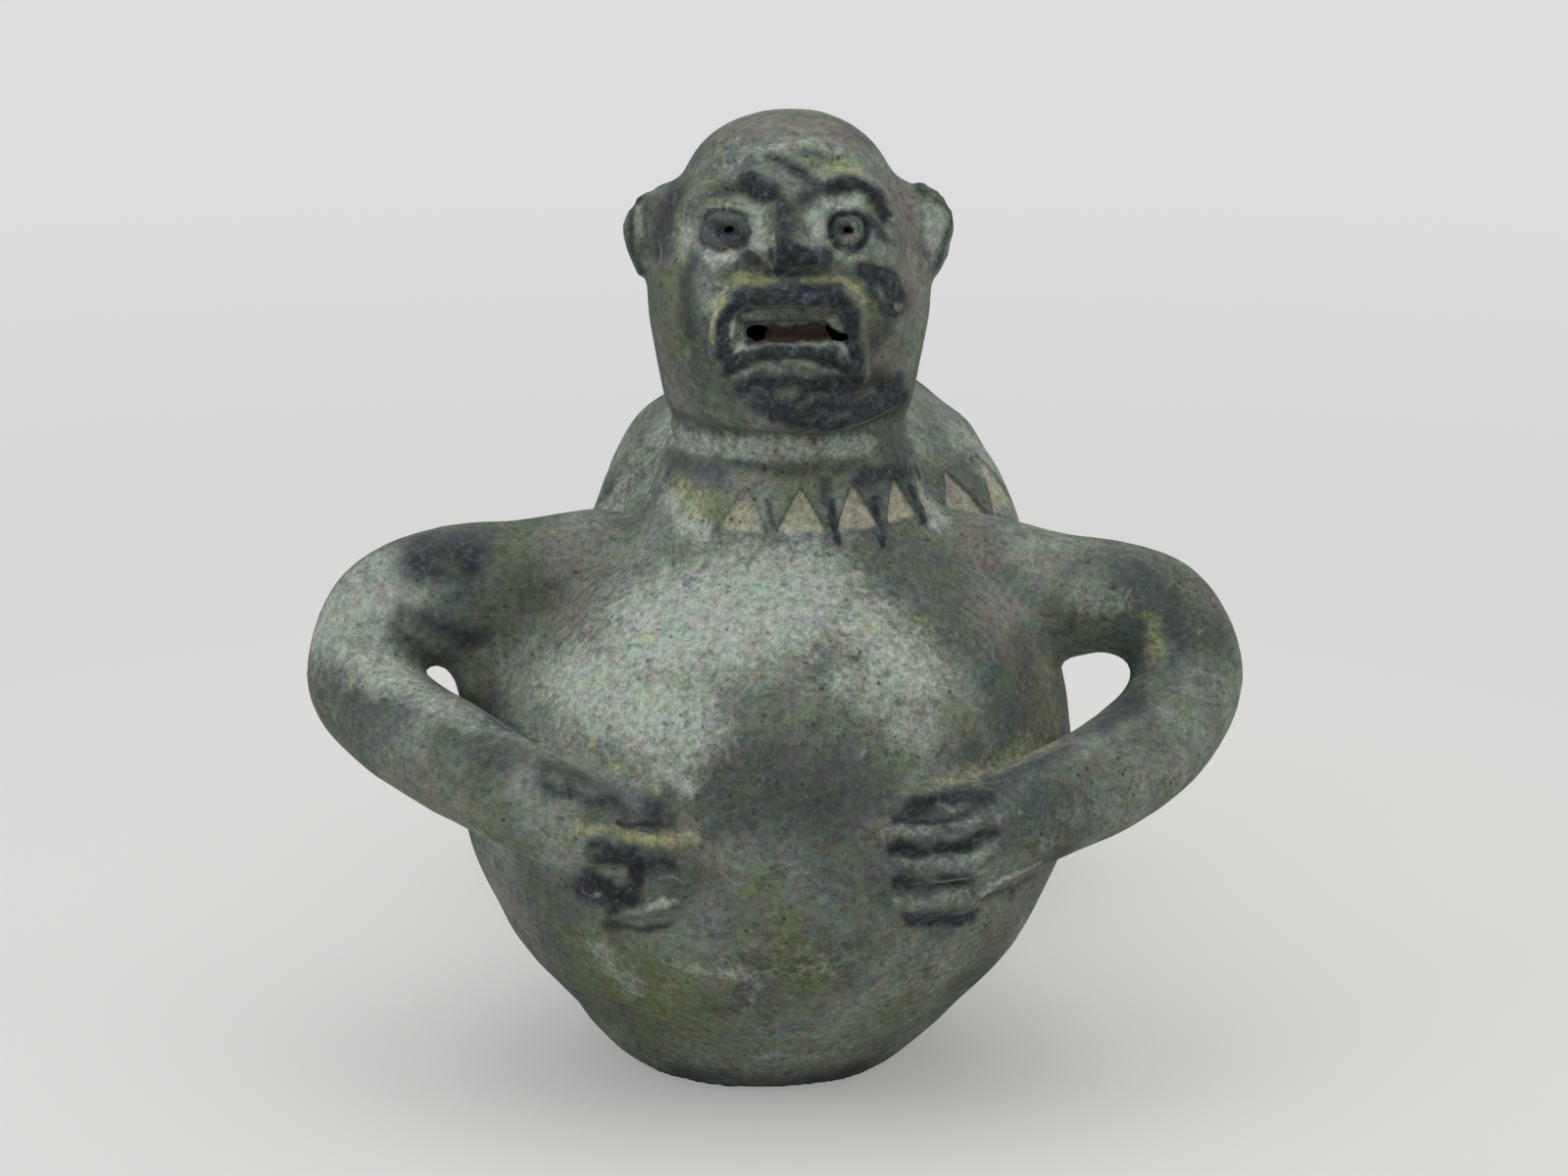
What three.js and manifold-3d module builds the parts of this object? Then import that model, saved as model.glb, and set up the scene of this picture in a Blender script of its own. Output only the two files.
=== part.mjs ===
// Twin-chambered effigy vessel of burnished, smoke-stained earthenware.
// Millimetres, +Z up, the figure faces -Y. The front chamber carries a neck, a head and two
// looped arms whose hands rest on the belly. A plain rear chamber stands behind it, joined to
// it by a short tube at the belly and by a strap handle that runs to its spout.

import * as THREE from "three";
import { mergeVertices } from "three/addons/utils/BufferGeometryUtils.js";
import Module from "manifold-3d";

const wasm = await Module();
wasm.setup();

// Chambers
const chamberHeight = 131;
const bellyShare = 0.5115;
const wall = 6;
const chamberGap = 7.9;
const rearShift = 8.4;

// Fits: the slip between luted pieces, and how far a cut runs past a face
const lutingGap = 0.3;
const overrun = 2;

// Front chamber
const frontRadius = 72.4;
const frontFootRadius = 31.5;
const frontShoulderRadius = 35.5;
const figureLean = 5;

// Rear chamber, its neck and its spout
const rearRadius = 61.5;
const rearFootRadius = 25.5;
const rearShoulderRadius = 31.5;
const rearNeckHeight = 21;
const spoutHeight = 33;
const spoutRadius = 14;
const spoutFlare = 3;
const spoutLipFlare = 1.5;
const spoutWall = 4.5;
const spoutFunnelHeight = 4;

// Connecting tube, its middle a little below the belly
const tubeDrop = 1;
const tubeRadius = 14;
const tubeBoreRadius = 8;

// Neck collar
const neckHeight = 22;
const neckTaper = 7.3;
const neckWall = 6;
const ringGrooveDrop = 3;
const ringGrooveWidth = 2.4;
const ringGrooveDepth = 1.1;

// Sawtooth bands cut into the neck and into the rear shoulder
const toothCount = 15;
const toothDepth = 0.9;
const toothTurn = 4;
const neckToothWidth = 9.6;
const neckToothFootShare = 0.11;
const neckToothHeightShare = 0.5;
const rearToothWidth = 14;
const rearToothHeight = 15;
const rearToothFootShare = 0.516;

// Head, wider than the top of the neck that carries it
const headHeight = 73;
const headOverhang = 4.8;
const headDepthShare = 1.03;
const headWall = 6;

// Muzzle and chin: how far they stand out, and where, by shares of the head
const muzzleReach = 5;
const muzzleHeightShare = 0.37;
const muzzleHalfWidthShare = 0.515;
const muzzleHalfHeightShare = 0.22;
const chinReach = 4.5;
const chinHeightShare = 0.137;
const chinHalfWidthShare = 0.455;
const chinHalfHeightShare = 0.096;

// Eyes, set clear of the nose
const eyeHeightShare = 0.697;
const eyeNoseGap = 1.35;
const eyeHalfWidth = 5;
const eyeHalfHeight = 4.3;
const eyeThickness = 2.4;
const pupilRadius = 1.2;

// Brows, arched over the eyes
const browRadius = 2.1;
const browEyeGap = 3.1;
const browInnerFall = 3.8;
const browOuterFall = 8.4;
const browNoseGap = 0.4;
const browOverhang = 5;

// Nose, its bridge above the eyes and its tip below them
const noseReach = 8;
const noseBridgeRadius = 3.6;
const noseTipRadius = 6.6;
const noseBridgeRise = 6.6;
const noseTipDrop = 4.9;
const nostrilRadius = 4;
const nostrilDrop = 1.2;
const nostrilOverlap = 3.6;

// Mouth, under the nose, and the lips round it
const mouthHalfWidth = 12.5;
const mouthGape = 7.5;
const lipRadius = 2.2;
const lipNoseGap = 2.1;
const lipMouthGap = 2.05;
const lipSpread = 3.5;
const lipDroop = 17.5;
const lowerLipRadius = 1.9;
const lowerLipInset = 3;
const lowerLipDroop = 3.2;

// Ears
const earReach = 4.6;
const earRootShare = 0.727;
const earHeightShare = 0.61;
const earHalfHeight = 11.3;
const earHalfThickness = 5;
const earBowlHalfHeight = 7;
const earBowlDepth = 2;

// Arms: how far each elbow stands out from the belly, and how thick the rolls are
const leftElbowReach = 23.4;
const rightElbowReach = 26.8;
const shoulderRadius = 18;
const armRadius = 13.4;
const wristRadius = 11.5;

// Hands and fingers
const handReachShare = 0.456;
const handHeightShare = 0.53;
const handHalfWidth = 13;
const handHalfHeight = 15;
const handThickness = 6.5;
const fingerCount = 4;
const fingerLength = 25;
const fingerRadius = 3.1;
const fingerGap = 2.2;
const fingerTopRise = 11;
const fingerSinkShare = 0.4;

// Strap handle
const handleWidth = 24;
const handleThickness = 9;
const handleRise = 17;
const handleFrontShare = 0.452;
const handleRearShare = 0.576;

// Sizes that follow from the ones above
const chamberSpacing = frontRadius + rearRadius + chamberGap;
const bellyHeight = chamberHeight * bellyShare;
const tubeHeight = bellyHeight - tubeDrop;
const neckTopRadius = frontShoulderRadius - neckTaper;
const neckTopHeight = chamberHeight + neckHeight;
const spoutBaseRadius = spoutRadius + spoutFlare;
const spoutBaseHeight = chamberHeight + rearNeckHeight;
const spoutTopHeight = spoutBaseHeight + spoutHeight;
const headHalfWidth = neckTopRadius + headOverhang;
const headHalfDepth = headHalfWidth * headDepthShare;
const headTopHeight = neckTopHeight + headHeight;

// How finely round things are divided
const chamberSides = 36;
const neckSides = 32;
const headSides = 32;
const padSides = 16;
const rollSides = 12;
const thinSides = 6;
const fingerSteps = 8;
const frameFineness = 12;

const clay = new THREE.MeshStandardMaterial({ color: 0x747a62, roughness: 0.72, metalness: 0 });
const smokedClay = new THREE.MeshStandardMaterial({ color: 0x3d443a, roughness: 0.6, metalness: 0 });
const paleClay = new THREE.MeshStandardMaterial({ color: 0xa39a73, roughness: 0.8, metalness: 0 });

// Shares of the way from the foot radius to the full radius, and up to the belly
const lowerOutlineShares = [
  [0, 0], [0.238, 0.12], [0.42, 0.24], [0.59, 0.36], [0.731, 0.48],
  [0.83, 0.6], [0.936, 0.746], [0.993, 0.896], [1, 1],
];

// Shares of the way from the shoulder radius to the full radius, and from the belly to the shoulder
const upperOutlineShares = [
  [0.981, 0.172], [0.919, 0.328], [0.818, 0.484], [0.7, 0.61], [0.577, 0.703],
  [0.42, 0.797], [0.238, 0.891], [0.089, 0.953], [0, 1],
];

// Neck outline: shares of the flare from top radius to foot radius, and of the neck's height
const neckOutlineShares = [[1, 0], [0.81, 0.07], [0.58, 0.22], [0.44, 0.45], [0.25, 0.68]];

// Head outline: shares of the half width and of the head's height
const headOutlineShares = [
  [0.8, 0], [0.87, 0.055], [0.93, 0.18], [0.985, 0.31], [1, 0.42], [0.985, 0.53],
  [0.93, 0.63], [0.85, 0.71], [0.755, 0.785], [0.645, 0.87], [0.51, 0.93], [0.35, 0.97], [0.18, 0.994],
];

// Arm route shares: across to the elbow, forward of the chamber axis by its radius, up to its height
const leftArmShares = [
  [0.36, 0, 0.88], [0.6, 0.03, 0.858], [0.775, 0.04, 0.852], [0.93, 0.08, 0.818],
  [1, 0.138, 0.716], [0.91, 0.3, 0.661], [0.772, 0.525, 0.637], [0.607, 0.77, 0.607],
  [0.42, 0.94, 0.565],
];
const rightArmShares = [
  [0.36, 0, 0.885], [0.665, 0.03, 0.853], [0.815, 0.055, 0.846], [0.941, 0.083, 0.813],
  [1, 0.138, 0.73], [0.945, 0.3, 0.656], [0.804, 0.525, 0.603], [0.621, 0.77, 0.573],
  [0.427, 0.94, 0.53],
];

// How far the arm's thickness has gone towards the shoulder's and the wrist's, along its length
const leftShoulderShares = [0.7, 0.75, 0.75, 0.3, 0, 0, 0, 0, 0];
const rightShoulderShares = [0.7, 0.4, 0.2, 0, 0, 0, 0, 0, 0];
const wristShares = [0, 0, 0, 0, 0, 0, 0.1, 0.4, 1];

// Handle route shares: along from the head to the spout, and up above the straight line
const handleRouteShares = [[0, 0], [0.22, 0.69], [0.46, 1], [0.7, 0.76], [0.86, 0.27], [1, 0]];

// Turns a three.js geometry into a solid that can be joined and cut
function solidOf(geometry) {
  const bare = geometry.clone();
  bare.deleteAttribute("normal");
  bare.deleteAttribute("uv");
  const merged = mergeVertices(bare);
  return new wasm.Manifold(new wasm.Mesh({
    numProp: 3,
    vertProperties: merged.attributes.position.array,
    triVerts: new Uint32Array(merged.index.array),
  }));
}

// Turns a solid back into a three.js geometry
function geometryOf(solid) {
  const mesh = solid.getMesh();
  const geometry = new THREE.BufferGeometry();
  geometry.setAttribute("position", new THREE.BufferAttribute(mesh.vertProperties, 3));
  geometry.setIndex(new THREE.BufferAttribute(mesh.triVerts, 1));
  geometry.computeVertexNormals();
  return geometry;
}

// Moves every point of a geometry by a rule
function reshape(geometry, rule) {
  const position = geometry.attributes.position;
  const point = new THREE.Vector3();
  for (let i = 0; i < position.count; i += 1) {
    point.fromBufferAttribute(position, i);
    rule(point);
    position.setXYZ(i, point.x, point.y, point.z);
  }
  return geometry;
}

// A solid turned from an outline of radius and height, about an upright axis
function turned(points, sides, rule = () => {}) {
  const geometry = new THREE.LatheGeometry(points, sides);
  geometry.rotateX(Math.PI / 2);
  geometry.scale(1, -1, 1);
  const index = geometry.index.array;
  for (let i = 0; i < index.length; i += 3) {
    [index[i + 1], index[i + 2]] = [index[i + 2], index[i + 1]];
  }
  return solidOf(reshape(geometry, rule));
}

// An outline moved outwards by a distance, square to itself
function offsetOutline(points, distance) {
  return points.map((point, i) => {
    const before = points[Math.max(i - 1, 0)];
    const after = points[Math.min(i + 1, points.length - 1)];
    const along = after.clone().sub(before).normalize();
    return new THREE.Vector2(point.x + along.y * distance, point.y - along.x * distance);
  });
}

// The figure leans to one side as it rises, from the belly to the shoulder
function leanAt(height) {
  const share = THREE.MathUtils.smoothstep(height, bellyHeight, chamberHeight);
  return figureLean * share;
}

function lean(point) {
  point.x += leanAt(point.z);
}

// Chambers

function chamberOutline(radius, footRadius, shoulderRadius) {
  const lower = lowerOutlineShares.map(([out, up]) => new THREE.Vector2(
    footRadius + (radius - footRadius) * out,
    bellyHeight * up,
  ));
  const upper = upperOutlineShares.map(([out, up]) => new THREE.Vector2(
    shoulderRadius + (radius - shoulderRadius) * out,
    bellyHeight + (chamberHeight - bellyHeight) * up,
  ));
  return [...lower, ...upper];
}

function chamberShell(outline, mouthRadius, rule) {
  const footRadius = outline[0].x;
  const inner = offsetOutline(outline, -wall).slice(1, -1).reverse();
  const points = [
    new THREE.Vector2(0, 0),
    ...outline,
    new THREE.Vector2(mouthRadius, chamberHeight),
    ...inner.filter((point) => point.x > mouthRadius || point.y < bellyHeight),
    new THREE.Vector2(footRadius - wall / 2, wall),
    new THREE.Vector2(0, wall),
  ];
  return turned(points, chamberSides, rule);
}

function chamberSolid(outline, growth, rule) {
  const grown = offsetOutline(outline, growth);
  const points = [
    new THREE.Vector2(0, grown[0].y),
    ...grown,
    new THREE.Vector2(0, grown.at(-1).y),
  ];
  return turned(points, chamberSides, rule);
}

// Where an outline lies at a height: its radius there, and how far it leans in
function outlineAt(outline, height) {
  const next = outline.findIndex((point) => point.y > height);
  const low = outline[next - 1];
  const high = outline[next];
  const share = (height - low.y) / (high.y - low.y);
  const slope = Math.atan2(low.x - high.x, high.y - low.y);
  return { radius: THREE.MathUtils.lerp(low.x, high.x, share), slope };
}

// A band of shallow triangles, point up, to cut into a turned surface
function toothCutters(outline, foot, width, height, centre) {
  const triangle = new THREE.Shape([
    new THREE.Vector2(-width / 2, -height / 2),
    new THREE.Vector2(width / 2, -height / 2),
    new THREE.Vector2(0, height / 2),
  ]);
  const { radius, slope } = outlineAt(outline, foot + height / 2);
  const cutters = [];
  for (let i = 0; i < toothCount; i += 1) {
    const angle = THREE.MathUtils.degToRad(toothTurn) + (i / toothCount) * Math.PI * 2;
    const geometry = new THREE.ExtrudeGeometry(triangle, {
      depth: toothDepth + overrun,
      bevelEnabled: false,
    });
    geometry.translate(0, 0, -toothDepth);
    geometry.rotateX(-slope);
    geometry.translate(0, foot + height / 2, radius);
    geometry.rotateX(Math.PI / 2);
    geometry.rotateZ(angle);
    geometry.translate(centre.x, centre.y, 0);
    cutters.push(solidOf(geometry));
  }
  return cutters;
}

// A round bore along Y at the height of the connecting tube
function tubeRod(radius, from, to, centreX) {
  const geometry = new THREE.CylinderGeometry(radius, radius, to - from, neckSides);
  geometry.translate(centreX, (from + to) / 2, tubeHeight);
  return solidOf(geometry);
}

const rearCentre = new THREE.Vector2(rearShift, chamberSpacing);
const figureCentre = new THREE.Vector2(figureLean, 0);
const tubeCentreX = rearShift / 2;

function toRear(point) {
  point.x += rearCentre.x;
  point.y += rearCentre.y;
}

const frontOutline = chamberOutline(frontRadius, frontFootRadius, frontShoulderRadius);
const rearOutline = chamberOutline(rearRadius, rearFootRadius, rearShoulderRadius);
const frontMouthRadius = neckTopRadius - neckWall;
const rearMouthRadius = rearShoulderRadius - wall;

const boreRod = tubeRod(tubeBoreRadius, frontRadius / 2, chamberSpacing - rearRadius / 2, tubeCentreX);

const frontSolidGrown = chamberSolid(frontOutline, lutingGap, lean);
const rearSolidGrown = chamberSolid(rearOutline, lutingGap, toRear);

const frontChamber = chamberShell(frontOutline, frontMouthRadius, lean)
  .subtract(boreRod);

const rearToothFoot = THREE.MathUtils.lerp(bellyHeight, chamberHeight, rearToothFootShare);
const rearTeeth = toothCutters(
  rearOutline, rearToothFoot, rearToothWidth, rearToothHeight, rearCentre,
);
const rearChamber = rearTeeth.reduce(
  (solid, cutter) => solid.subtract(cutter),
  chamberShell(rearOutline, rearMouthRadius, toRear).subtract(boreRod),
);

const connectingTube = tubeRod(tubeRadius, frontRadius / 2, chamberSpacing - rearRadius / 2, tubeCentreX)
  .subtract(boreRod)
  .subtract(frontSolidGrown)
  .subtract(rearSolidGrown);

// Neck collar with its sawtooth band and the ring incised under the chin

const neckFootHeight = chamberHeight + lutingGap;
const ringGrooveHeight = neckTopHeight - ringGrooveDrop;
const neckToothFoot = chamberHeight + neckHeight * neckToothFootShare;
const neckToothHeight = neckHeight * neckToothHeightShare;

const neckOutline = neckOutlineShares.map(([out, up]) => new THREE.Vector2(
  neckTopRadius + (frontShoulderRadius - neckTopRadius) * out,
  neckFootHeight + (neckTopHeight - neckFootHeight) * up,
)).concat([
  new THREE.Vector2(neckTopRadius, ringGrooveHeight - ringGrooveWidth / 2),
  new THREE.Vector2(neckTopRadius - ringGrooveDepth, ringGrooveHeight),
  new THREE.Vector2(neckTopRadius, ringGrooveHeight + ringGrooveWidth / 2),
  new THREE.Vector2(neckTopRadius, neckTopHeight),
]);

function toFigure(point) {
  point.x += figureCentre.x;
}

const neckTeeth = toothCutters(
  neckOutline, neckToothFoot, neckToothWidth, neckToothHeight, figureCentre,
);
const neckShell = turned([
  new THREE.Vector2(frontMouthRadius, neckFootHeight),
  ...neckOutline,
  new THREE.Vector2(frontMouthRadius, neckTopHeight),
  new THREE.Vector2(frontMouthRadius, neckFootHeight),
], neckSides, toFigure);
const neckCollar = neckTeeth.reduce((solid, cutter) => solid.subtract(cutter), neckShell);

const neckSolidGrown = turned([
  new THREE.Vector2(0, neckFootHeight),
  ...offsetOutline(neckOutline, lutingGap),
  new THREE.Vector2(0, neckTopHeight),
], neckSides, toFigure);

// Rear neck and spout

const rearNeckFoot = chamberHeight + lutingGap;
const rearNeckTop = spoutBaseHeight - lutingGap;
const rearNeckRise = rearNeckTop - rearNeckFoot;
const rearNeckShares = [[1, 0], [0.7, 0.12], [0.42, 0.32], [0.2, 0.6], [0, 1]];
const rearNeckOutline = rearNeckShares.map(([out, up]) => new THREE.Vector2(
  spoutBaseRadius + (rearShoulderRadius - spoutBaseRadius) * out,
  rearNeckFoot + rearNeckRise * up,
));
const rearNeck = turned([
  new THREE.Vector2(rearMouthRadius, rearNeckFoot),
  ...rearNeckOutline,
  ...rearNeckOutline.slice(1).reverse().map((point) => new THREE.Vector2(
    Math.max(point.x - wall, spoutBaseRadius - spoutWall),
    point.y,
  )),
  new THREE.Vector2(rearMouthRadius, rearNeckFoot),
], neckSides, toRear);

const spoutWaistHeight = spoutTopHeight - spoutFunnelHeight;
const spoutOutline = [
  new THREE.Vector2(spoutBaseRadius, spoutBaseHeight),
  new THREE.Vector2(spoutRadius, (spoutBaseHeight + spoutWaistHeight) / 2),
  new THREE.Vector2(spoutRadius, spoutWaistHeight),
  new THREE.Vector2(spoutRadius + spoutLipFlare, spoutTopHeight),
];
const spoutBore = spoutOutline.map((point) => new THREE.Vector2(point.x - spoutWall, point.y));
const rearSpout = turned(
  [spoutBore[0], ...spoutOutline, ...spoutBore.slice().reverse()],
  neckSides,
  toRear,
);
const spoutSolidGrown = turned([
  new THREE.Vector2(0, spoutBaseHeight),
  ...offsetOutline(spoutOutline, lutingGap),
  new THREE.Vector2(0, spoutTopHeight),
], neckSides, toRear);

// Head: a closed hollow shell, fuller at the muzzle and the chin

const headFootHeight = neckTopHeight + lutingGap;

// Heights on the head, and distances across it, from shares of its own size
function upHead(share) {
  return neckTopHeight + headHeight * share;
}

function acrossHead(share) {
  return headHalfWidth * share;
}

function bump(x, z, halfWidth, height, halfHeight) {
  return Math.exp(-((x / halfWidth) ** 2) - ((z - height) / halfHeight) ** 2);
}

function faceSwell(x, z) {
  const muzzle = bump(
    x, z, acrossHead(muzzleHalfWidthShare), upHead(muzzleHeightShare), headHeight * muzzleHalfHeightShare,
  );
  const chin = bump(
    x, z, acrossHead(chinHalfWidthShare), upHead(chinHeightShare), headHeight * chinHalfHeightShare,
  );
  return muzzleReach * muzzle + chinReach * chin;
}

const headOutline = headOutlineShares.map(([out, up]) => new THREE.Vector2(
  headHalfWidth * out,
  headFootHeight + (headTopHeight - headFootHeight) * up,
));

// Skin of the face in front of a place across from the head's axis and up from the ground
function faceY(x, z) {
  const { radius } = outlineAt(headOutline, z);
  const spare = Math.max(radius * radius - x * x, 0);
  return -headDepthShare * Math.sqrt(spare) - faceSwell(x, z);
}

function onFace(x, z, lift) {
  return new THREE.Vector3(figureLean + x, faceY(x, z) - lift, z);
}

function headPoint(point) {
  const front = THREE.MathUtils.smoothstep(-point.y, 0, headHalfWidth);
  point.y = point.y * headDepthShare - faceSwell(point.x, point.z) * Math.sqrt(front);
  toFigure(point);
}

function headSolid(growth) {
  const grown = offsetOutline(headOutline, growth);
  return turned([
    new THREE.Vector2(0, grown[0].y),
    ...grown,
    new THREE.Vector2(0, headTopHeight + growth),
  ], headSides, headPoint);
}

const headCavityOutline = offsetOutline(headOutline, -headWall).slice(1, -1).filter((p) => p.x > headWall);
const headCavity = turned([
  new THREE.Vector2(0, headFootHeight - overrun),
  new THREE.Vector2(frontMouthRadius, headFootHeight - overrun),
  ...headCavityOutline,
  new THREE.Vector2(0, headTopHeight - headWall),
], headSides, headPoint);

// A rod that bores through the face from front to back, oval in section
function faceBore(x, z, halfWidth, halfHeight, sides) {
  const geometry = new THREE.CylinderGeometry(1, 1, headHalfDepth * 2, sides);
  geometry.scale(halfWidth, 1, halfHeight);
  geometry.translate(figureLean + x, -headHalfDepth - headWall, z);
  return solidOf(geometry);
}

const sideSigns = { left: -1, right: 1 };
const eyeHeight = upHead(eyeHeightShare);
const eyeReach = noseTipRadius + eyeNoseGap + eyeHalfWidth;
const noseTipHeight = eyeHeight - noseTipDrop;
const nostrilHeight = noseTipHeight - nostrilDrop;
const lipTopHeight = nostrilHeight - nostrilRadius - lipNoseGap - lipRadius;
const mouthHeight = lipTopHeight - lipRadius - lipMouthGap - mouthGape / 2;
const lowerLipTopHeight = mouthHeight - mouthGape / 2 - lutingGap - lowerLipRadius;
const mouthBore = faceBore(0, mouthHeight, mouthHalfWidth, mouthGape / 2, rollSides * 2);
const pupilBores = Object.values(sideSigns).map(
  (sign) => faceBore(sign * eyeReach, eyeHeight, pupilRadius, pupilRadius, thinSides),
);

const headSolidGrown = headSolid(lutingGap);
const head = [mouthBore, ...pupilBores].reduce(
  (solid, cutter) => solid.subtract(cutter),
  headSolid(0).subtract(headCavity),
);

// Rolls of clay: round-ended, tapering, laid along a curve

function valueAt(values, share) {
  const place = share * (values.length - 1);
  const low = Math.min(Math.floor(place), values.length - 2);
  return THREE.MathUtils.lerp(values[low], values[low + 1], place - low);
}

function roll(points, radii, steps, sides, growth = 0) {
  const curve = new THREE.CatmullRomCurve3(points, false, "centripetal");
  const frames = curve.computeFrenetFrames(steps * frameFineness, false);
  const length = curve.getLength();
  const geometry = new THREE.CylinderGeometry(1, 1, 1, sides, steps);
  geometry.translate(0, 1 / 2, 0);
  reshape(geometry, (point) => {
    const step = Math.round(point.y * steps);
    const share = (1 - Math.cos((Math.PI * step) / steps)) / 2;
    const frame = Math.round(share * steps * frameFineness);
    const radius = valueAt(radii, share) + growth;
    const fromEnd = Math.min(share, 1 - share) * length;
    const into = Math.min(fromEnd / radius, 1);
    const roundness = Math.max(Math.sqrt(into * (2 - into)), 1 / sides);
    const centre = curve.getPointAt(share);
    const across = frames.binormals[frame].clone().multiplyScalar(point.x * radius * roundness);
    const upward = frames.normals[frame].clone().multiplyScalar(point.z * radius * roundness);
    point.copy(centre).add(across).add(upward);
  });
  return solidOf(geometry);
}

// A cushion-shaped pad of clay, set at a place
function pad(halfX, halfY, halfZ, place, sides, rule = () => {}) {
  const geometry = new THREE.SphereGeometry(1, sides, sides / 2);
  geometry.rotateX(Math.PI / 2);
  geometry.scale(halfX, halfY, halfZ);
  reshape(geometry, rule);
  geometry.translate(place.x, place.y, place.z);
  return solidOf(geometry);
}

// Ears: half-round pads with a hollowed bowl that faces forward

function ear(sign) {
  const root = acrossHead(earRootShare);
  const half = (headHalfWidth + earReach - root) / 2;
  const place = new THREE.Vector3(figureLean + sign * (root + half), 0, upHead(earHeightShare));
  const flap = pad(half, earHalfThickness, earHalfHeight, place, rollSides);
  const bowlPlace = place.clone().setY(-earHalfThickness);
  const bowl = pad(half / 2, earBowlDepth, earBowlHalfHeight, bowlPlace, rollSides);
  return flap.subtract(bowl).subtract(headSolidGrown).subtract(brow(sign, lutingGap));
}

// Eyes: flat pellets pierced by the pupil

function eye(sign) {
  const x = sign * eyeReach;
  const skin = faceY(x, eyeHeight);
  const turn = Math.atan2(x * headDepthShare * headDepthShare, -skin);
  const geometry = new THREE.CylinderGeometry(1, 1, eyeThickness * 2, rollSides * 2);
  geometry.scale(eyeHalfWidth, 1, eyeHalfHeight);
  geometry.rotateZ(turn);
  geometry.translate(figureLean + x, skin, eyeHeight);
  return solidOf(geometry)
    .subtract(headSolidGrown)
    .subtract(faceBore(x, eyeHeight, pupilRadius, pupilRadius, thinSides));
}

// Brows: curved rolls over the eyes

const browPeakHeight = eyeHeight + eyeHalfHeight + browEyeGap + browRadius;
const browRoute = [
  { along: 0, fall: browInnerFall },
  { along: 1 / 3, fall: 0 },
  { along: 3 / 4, fall: 0 },
  { along: 1, fall: browOuterFall },
];

function brow(sign, growth = 0) {
  const inner = noseBridgeRadius + browNoseGap;
  const outer = eyeReach + eyeHalfWidth + browOverhang;
  const points = browRoute.map(({ along, fall }) => onFace(
    sign * THREE.MathUtils.lerp(inner, outer, along),
    browPeakHeight - fall,
    0,
  ));
  return roll(points, [browRadius, browRadius], rollSides, thinSides, growth).subtract(headSolidGrown);
}

// Nose: a ridge that widens to a round tip between two nostril wings

function nose() {
  const bridge = onFace(0, eyeHeight + noseBridgeRise, 0);
  const tip = onFace(0, noseTipHeight - noseTipRadius / 2, noseReach - noseTipRadius);
  const ridge = roll(
    [bridge, bridge.clone().lerp(tip, 1 / 2), tip],
    [noseBridgeRadius, noseTipRadius, noseTipRadius],
    rollSides, rollSides,
  );
  const nostrilReach = noseTipRadius + nostrilRadius - nostrilOverlap;
  return Object.values(sideSigns).reduce((solid, sign) => {
    const place = onFace(sign * nostrilReach, nostrilHeight, 0);
    const wing = pad(nostrilRadius, nostrilRadius, nostrilRadius, place, rollSides);
    return solid.add(wing).subtract(brow(sign, lutingGap));
  }, ridge).subtract(headSolidGrown);
}

// Lips: an upper roll arched over the mouth and a lower crescent inside its ends

const upperLipShares = [
  [-1, 0], [-0.98, 0.45], [-0.7, 0.9], [-0.3, 1],
  [0.3, 1], [0.7, 0.9], [0.98, 0.45], [1, 0],
];
const lowerLipShares = [[-1, 0], [-0.5, 0.8], [0, 1], [0.5, 0.8], [1, 0]];

function lip(shares, halfWidth, top, droop, radius, growth = 0) {
  const points = shares.map(([out, up]) => onFace(out * halfWidth, top - droop * (1 - up), 0));
  return roll(points, [radius, radius], padSides, thinSides, growth)
    .subtract(headSolidGrown)
    .subtract(mouthBore);
}

const lipHalfWidth = mouthHalfWidth + lipSpread;

function upperLip(growth) {
  return lip(upperLipShares, lipHalfWidth, lipTopHeight, lipDroop, lipRadius, growth);
}

function lowerLip() {
  const halfWidth = lipHalfWidth - lowerLipInset;
  return lip(lowerLipShares, halfWidth, lowerLipTopHeight, lowerLipDroop, lowerLipRadius)
    .subtract(upperLip(lutingGap));
}

// Arms: rolls that leave the shoulder, loop out to the elbow and come forward over the belly

const armRoutes = {
  left: { shares: leftArmShares, reach: leftElbowReach, thicker: leftShoulderShares },
  right: { shares: rightArmShares, reach: rightElbowReach, thicker: rightShoulderShares },
};

function armSolid(side, growth = 0) {
  const { shares, reach, thicker } = armRoutes[side];
  const points = shares.map(([out, forward, up]) => new THREE.Vector3(
    sideSigns[side] * (frontRadius + reach) * out,
    -frontRadius * forward,
    chamberHeight * up,
  ));
  const radii = shares.map((_, i) => armRadius
    + (shoulderRadius - armRadius) * thicker[i]
    + (wristRadius - armRadius) * wristShares[i]);
  return roll(points, radii, rollSides * 2, rollSides, growth);
}

function arm(side) {
  return armSolid(side).subtract(frontSolidGrown).subtract(neckSolidGrown);
}

// Places on the belly: a distance across and a height, lifted off the clay
function onBelly(x, height, lift) {
  const { radius } = outlineAt(frontOutline, height);
  const angle = Math.asin(x / radius);
  const out = radius + lift;
  return new THREE.Vector3(Math.sin(angle) * out, -Math.cos(angle) * out, height);
}

// Hands: low pads at the ends of the arms

const handReach = frontRadius * handReachShare;
const handHeight = chamberHeight * handHeightShare;

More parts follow.
